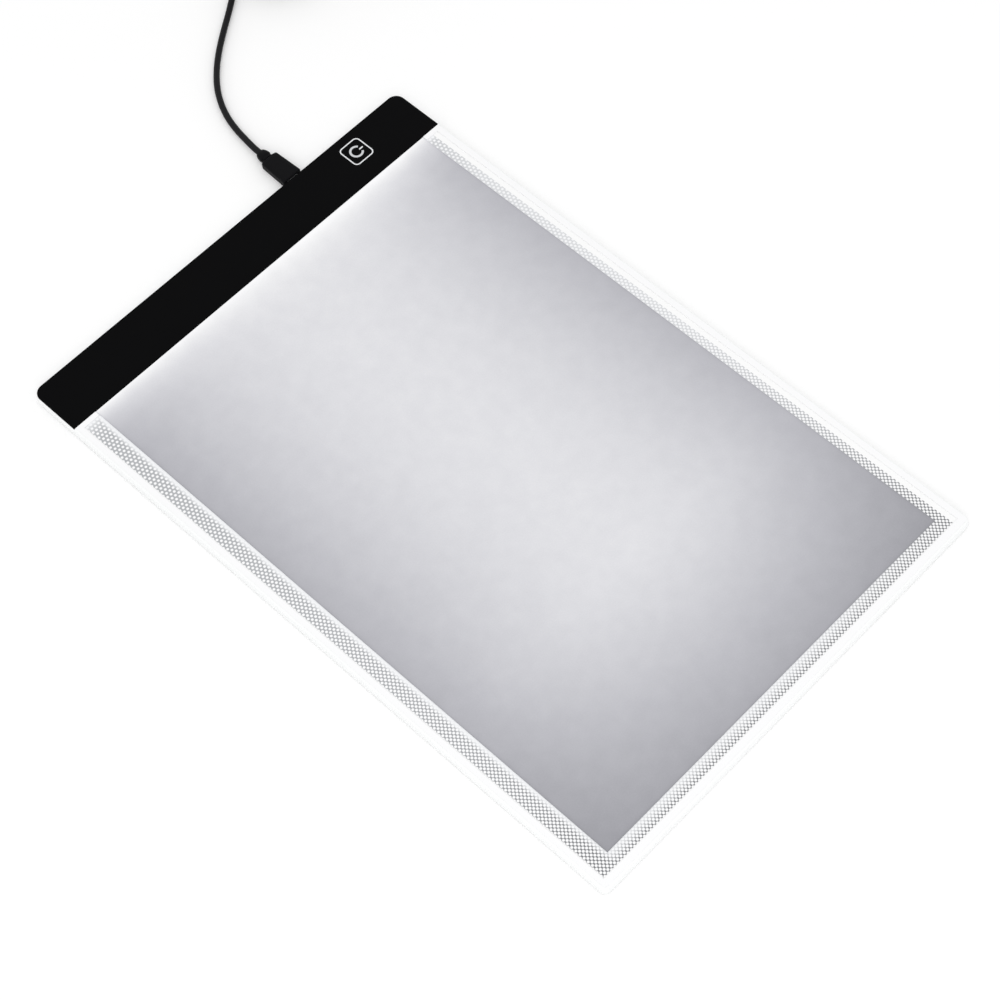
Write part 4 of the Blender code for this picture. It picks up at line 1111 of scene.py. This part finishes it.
def fading(distance, reach):
    """The share e to the power of minus distance over reach."""
    return calc("EXPONENT", over(distance, -reach))


def smooth_share(value, start, end, kind="SMOOTHSTEP"):
    node = beside(value, "ShaderNodeMapRange")
    node.interpolation_type = kind
    for term, label in ((value, "Value"), (start, "From Min"), (end, "From Max")):
        feed(term, node.inputs[label])
    return node.outputs[0]


panel_surface, shader, place = new_surface("panel_acrylic", 0.30, specular=0.3)
x, y, _ = axes(place)
inside_left, inside_right, inside_far = edge_distances(x, y)
in_window = times(
    smooth_share(x, window_left - window_edge, window_left + window_edge),
    smooth_share(x, window_right + window_edge, window_right - window_edge),
    smooth_share(y, window_end - window_edge, window_end + window_edge),
)
# Painted glow: the share of near-white painted over the panel beside the sheet's right, left and far
# edges and near the strip, where the LEDs' light shows, with a little noise over it.
from_end = minus(y, dark_end)
right_painted_glow = times(
    smooth_share(y, -0.170, 0.010),
    times_plus(smooth_share(y, 0.105, 0.145), -0.18, 0.56),
)
beside_right = times_plus(
    minus(1.0, right_painted_glow), smooth_share(inside_right, -0.0004, 0.0), right_painted_glow
)
left_reach = times_plus(fading(from_end, gloom_reach), 0.0016, -0.0006)
beside_left = smooth_share(inside_left, -0.0036, left_reach)
to_right = times(smooth_share(x, 0.005, 0.130), smooth_share(inside_far, 0.0004, -0.0004))
beyond_far = times(smooth_share(inside_far, -0.0056, 0.0006, "LINEAR"), minus(1.0, to_right))
from_film = calc("MAXIMUM", minus(film_edge, y), 0.0)
painted_glow_share = calc("MAXIMUM", times(beside_left, beside_right, beyond_far), fading(from_film, film_glow_reach))
dots = place_effect(dot_effect, Place=place)["Dots"]
# Painted shade: the grey ground between the dots is painted darker towards the far end, away from the
# LEDs.
ground = mixed(fading(from_end, ground_reach), paint(180, 182, 185), paint(114, 116, 119))
mottled_glow_share = times_plus(minus(noise(place, 900.0), 0.5), 0.30, painted_glow_share)
printed = mixed(dots, ground, paint(254, 254, 255))
lit = mixed(mottled_glow_share, printed, paint(247, 248, 250))
panel_colour = mixed(in_window, paint(253, 253, 253), lit)
look(shader, panel_colour, normal=bump(dots, dot_rise))
dress("top_panel", panel_surface)


# Working sheet: a matte translucent drafting sheet laid on the panel. The backlight is painted into
# its colour: brightest along the LEDs and down the middle, painted darker towards its sides and far
# end, with a painted shadow line along its edges. Its fibres make it cloudy, and it glows faintly
# with the same colour.
sheet_light = 0.10
sheet_middle, sheet_side_reach = 0.005, 0.110
dim_start, dim_reach = -0.080, 0.085
led_reach, led_spread, edge_reach = 0.0085, 0.022, 0.00045
fibre_rise = 0.00002
sheet_surface, shader, place = new_surface("drafting_sheet", 0.75, specular=0.15)
x, y, _ = axes(place)
# Painted backlight: the tone is painted darker from the middle towards the sides and towards the far
# end.
off_middle = over(minus(x, sheet_middle), sheet_side_reach)
across_share = times_plus(times(off_middle, off_middle), -0.58, 1.0)
far_share = calc("MAXIMUM", over(minus(dim_start, y), dim_reach), 0.0)
along_share = times_plus(calc("POWER", far_share, 1.3), -0.67, 1.0)
painted_backlight_tone = times_plus(times(across_share, along_share), 76.0, 150.0)
from_leds = minus(sheet_high.y, y)
painted_backlight_tone = times_plus(fading(from_leds, led_reach), minus(252.0, painted_backlight_tone), painted_backlight_tone)
# A painted glow, brighter along the LEDs.
painted_led_glow = times(
    smooth_share(x, -0.025, 0.060), smooth_share(x, 0.104, 0.088),
    fading(from_leds, led_spread),
)
painted_backlight_tone = times_plus(painted_led_glow, 8.0, painted_backlight_tone)
clouds = minus(noise(place, 130.0, 3.0), 0.5)
fibres = minus(noise(place, 1400.0, 3.0), 0.5)
painted_backlight_tone = times_plus(clouds, 10.0, painted_backlight_tone)
painted_backlight_tone = times_plus(fibres, 9.0, painted_backlight_tone)
inside_left, inside_right, inside_far = edge_distances(x, y)
inside = calc("MINIMUM", inside_left, calc("MINIMUM", inside_right, inside_far))
# A painted shadow line along the sheet's left, right and far edges.
painted_edge_shadow = fading(inside, edge_reach)
painted_backlight_tone = times_plus(painted_edge_shadow, -16.0, painted_backlight_tone)
ramp = beside(place, "ShaderNodeValToRGB")
feed(over(painted_backlight_tone, 255.0), ramp.inputs[0])
stops = [
    (140, (139, 139, 144)), (165, (164, 164, 170)), (190, (189, 189, 195)), (210, (209, 209, 214)),
    (225, (224, 224, 228)), (240, (240, 240, 242)), (253, (253, 253, 254)),
]
while len(ramp.color_ramp.elements) < len(stops):
    ramp.color_ramp.elements.new(0.5)
for element, (level_here, colour) in zip(ramp.color_ramp.elements, stops):
    element.position = level_here / 255
    element.color = (*(np.array(paint(*colour)[:3]) / (1 + sheet_light)).tolist(), 1.0)
look(shader, ramp.outputs[0], normal=bump(fibres, fibre_rise))
feed(ramp.outputs[0], shader.inputs["Emission Color"])
shader.inputs["Emission Strength"].default_value = sheet_light
dress("working_sheet", sheet_surface)


# Border film: white polyester, die-cut to a frame and stuck round the panel's edge.
dress(
    "border_film",
    grained("white_film", paint(252, 252, 253), 0.45, 4000.0, 0.00001, 0.01, specular=0.3),
)


# Floor and light: a plain white table and a white room. A soft lamp hangs high over the front
# left, and what the camera and shiny parts see of the room is white.
def room_rays(tree):
    """1 for the rays that see the room itself, from the camera or off a shiny or clear part."""
    path = tree.nodes.new("ShaderNodeLightPath")
    seen = calc("MAXIMUM", path.outputs["Is Camera Ray"], path.outputs["Is Glossy Ray"])
    return calc("MAXIMUM", seen, path.outputs["Is Transmission Ray"])


room_light = 0.865
lamp_power = 11.9
lamp_size = 1.6
lamp_place = np.array((-1.2, -1.2, 1.6))
floor_half = 4.0
floor_white, floor_glow = 0.93, 0.10
world = bpy.data.worlds.new("room")
scene.world = world
world.use_nodes = True
background = world.node_tree.nodes["Background"]
room_grey = (room_light, room_light, room_light, 1.0)
room = mixed(room_rays(world.node_tree), room_grey, (1.0, 1.0, 1.0, 1.0))
feed(room, background.inputs["Color"])
lamp = bpy.data.objects.new("lamp", bpy.data.lights.new("lamp", "AREA"))
lamp.data.shape = "SQUARE"
lamp.data.size = lamp_size
lamp.data.energy = lamp_power
lamp.location = lamp_place
lamp.rotation_euler = Vector(-lamp_place).to_track_quat("-Z", "Y").to_euler()
scene.collection.objects.link(lamp)

table_surface, shader, place = new_surface("table_white", 0.8, specular=0.0)
shader.inputs["Base Color"].default_value = (floor_white, floor_white, floor_white, 1.0)
glow = beside(place, "ShaderNodeEmission")
feed(times(room_rays(shader.id_data), floor_glow), glow.inputs["Strength"])
adding = beside(place, "ShaderNodeAddShader")
feed(shader.outputs[0], adding.inputs[0])
feed(glow.outputs[0], adding.inputs[1])
feed(adding.outputs[0], shader.id_data.nodes["Material Output"].inputs["Surface"])
table_mesh = bpy.data.meshes.new("table")
floor_corners = rectangle(-floor_half, floor_half, -floor_half, floor_half)
table_mesh.from_pydata(np.column_stack([floor_corners, np.zeros(4)]), [], [(0, 1, 2, 3)])
table_mesh.materials.append(table_surface)
table = bpy.data.objects.new("table", table_mesh)
scene.collection.objects.link(table)
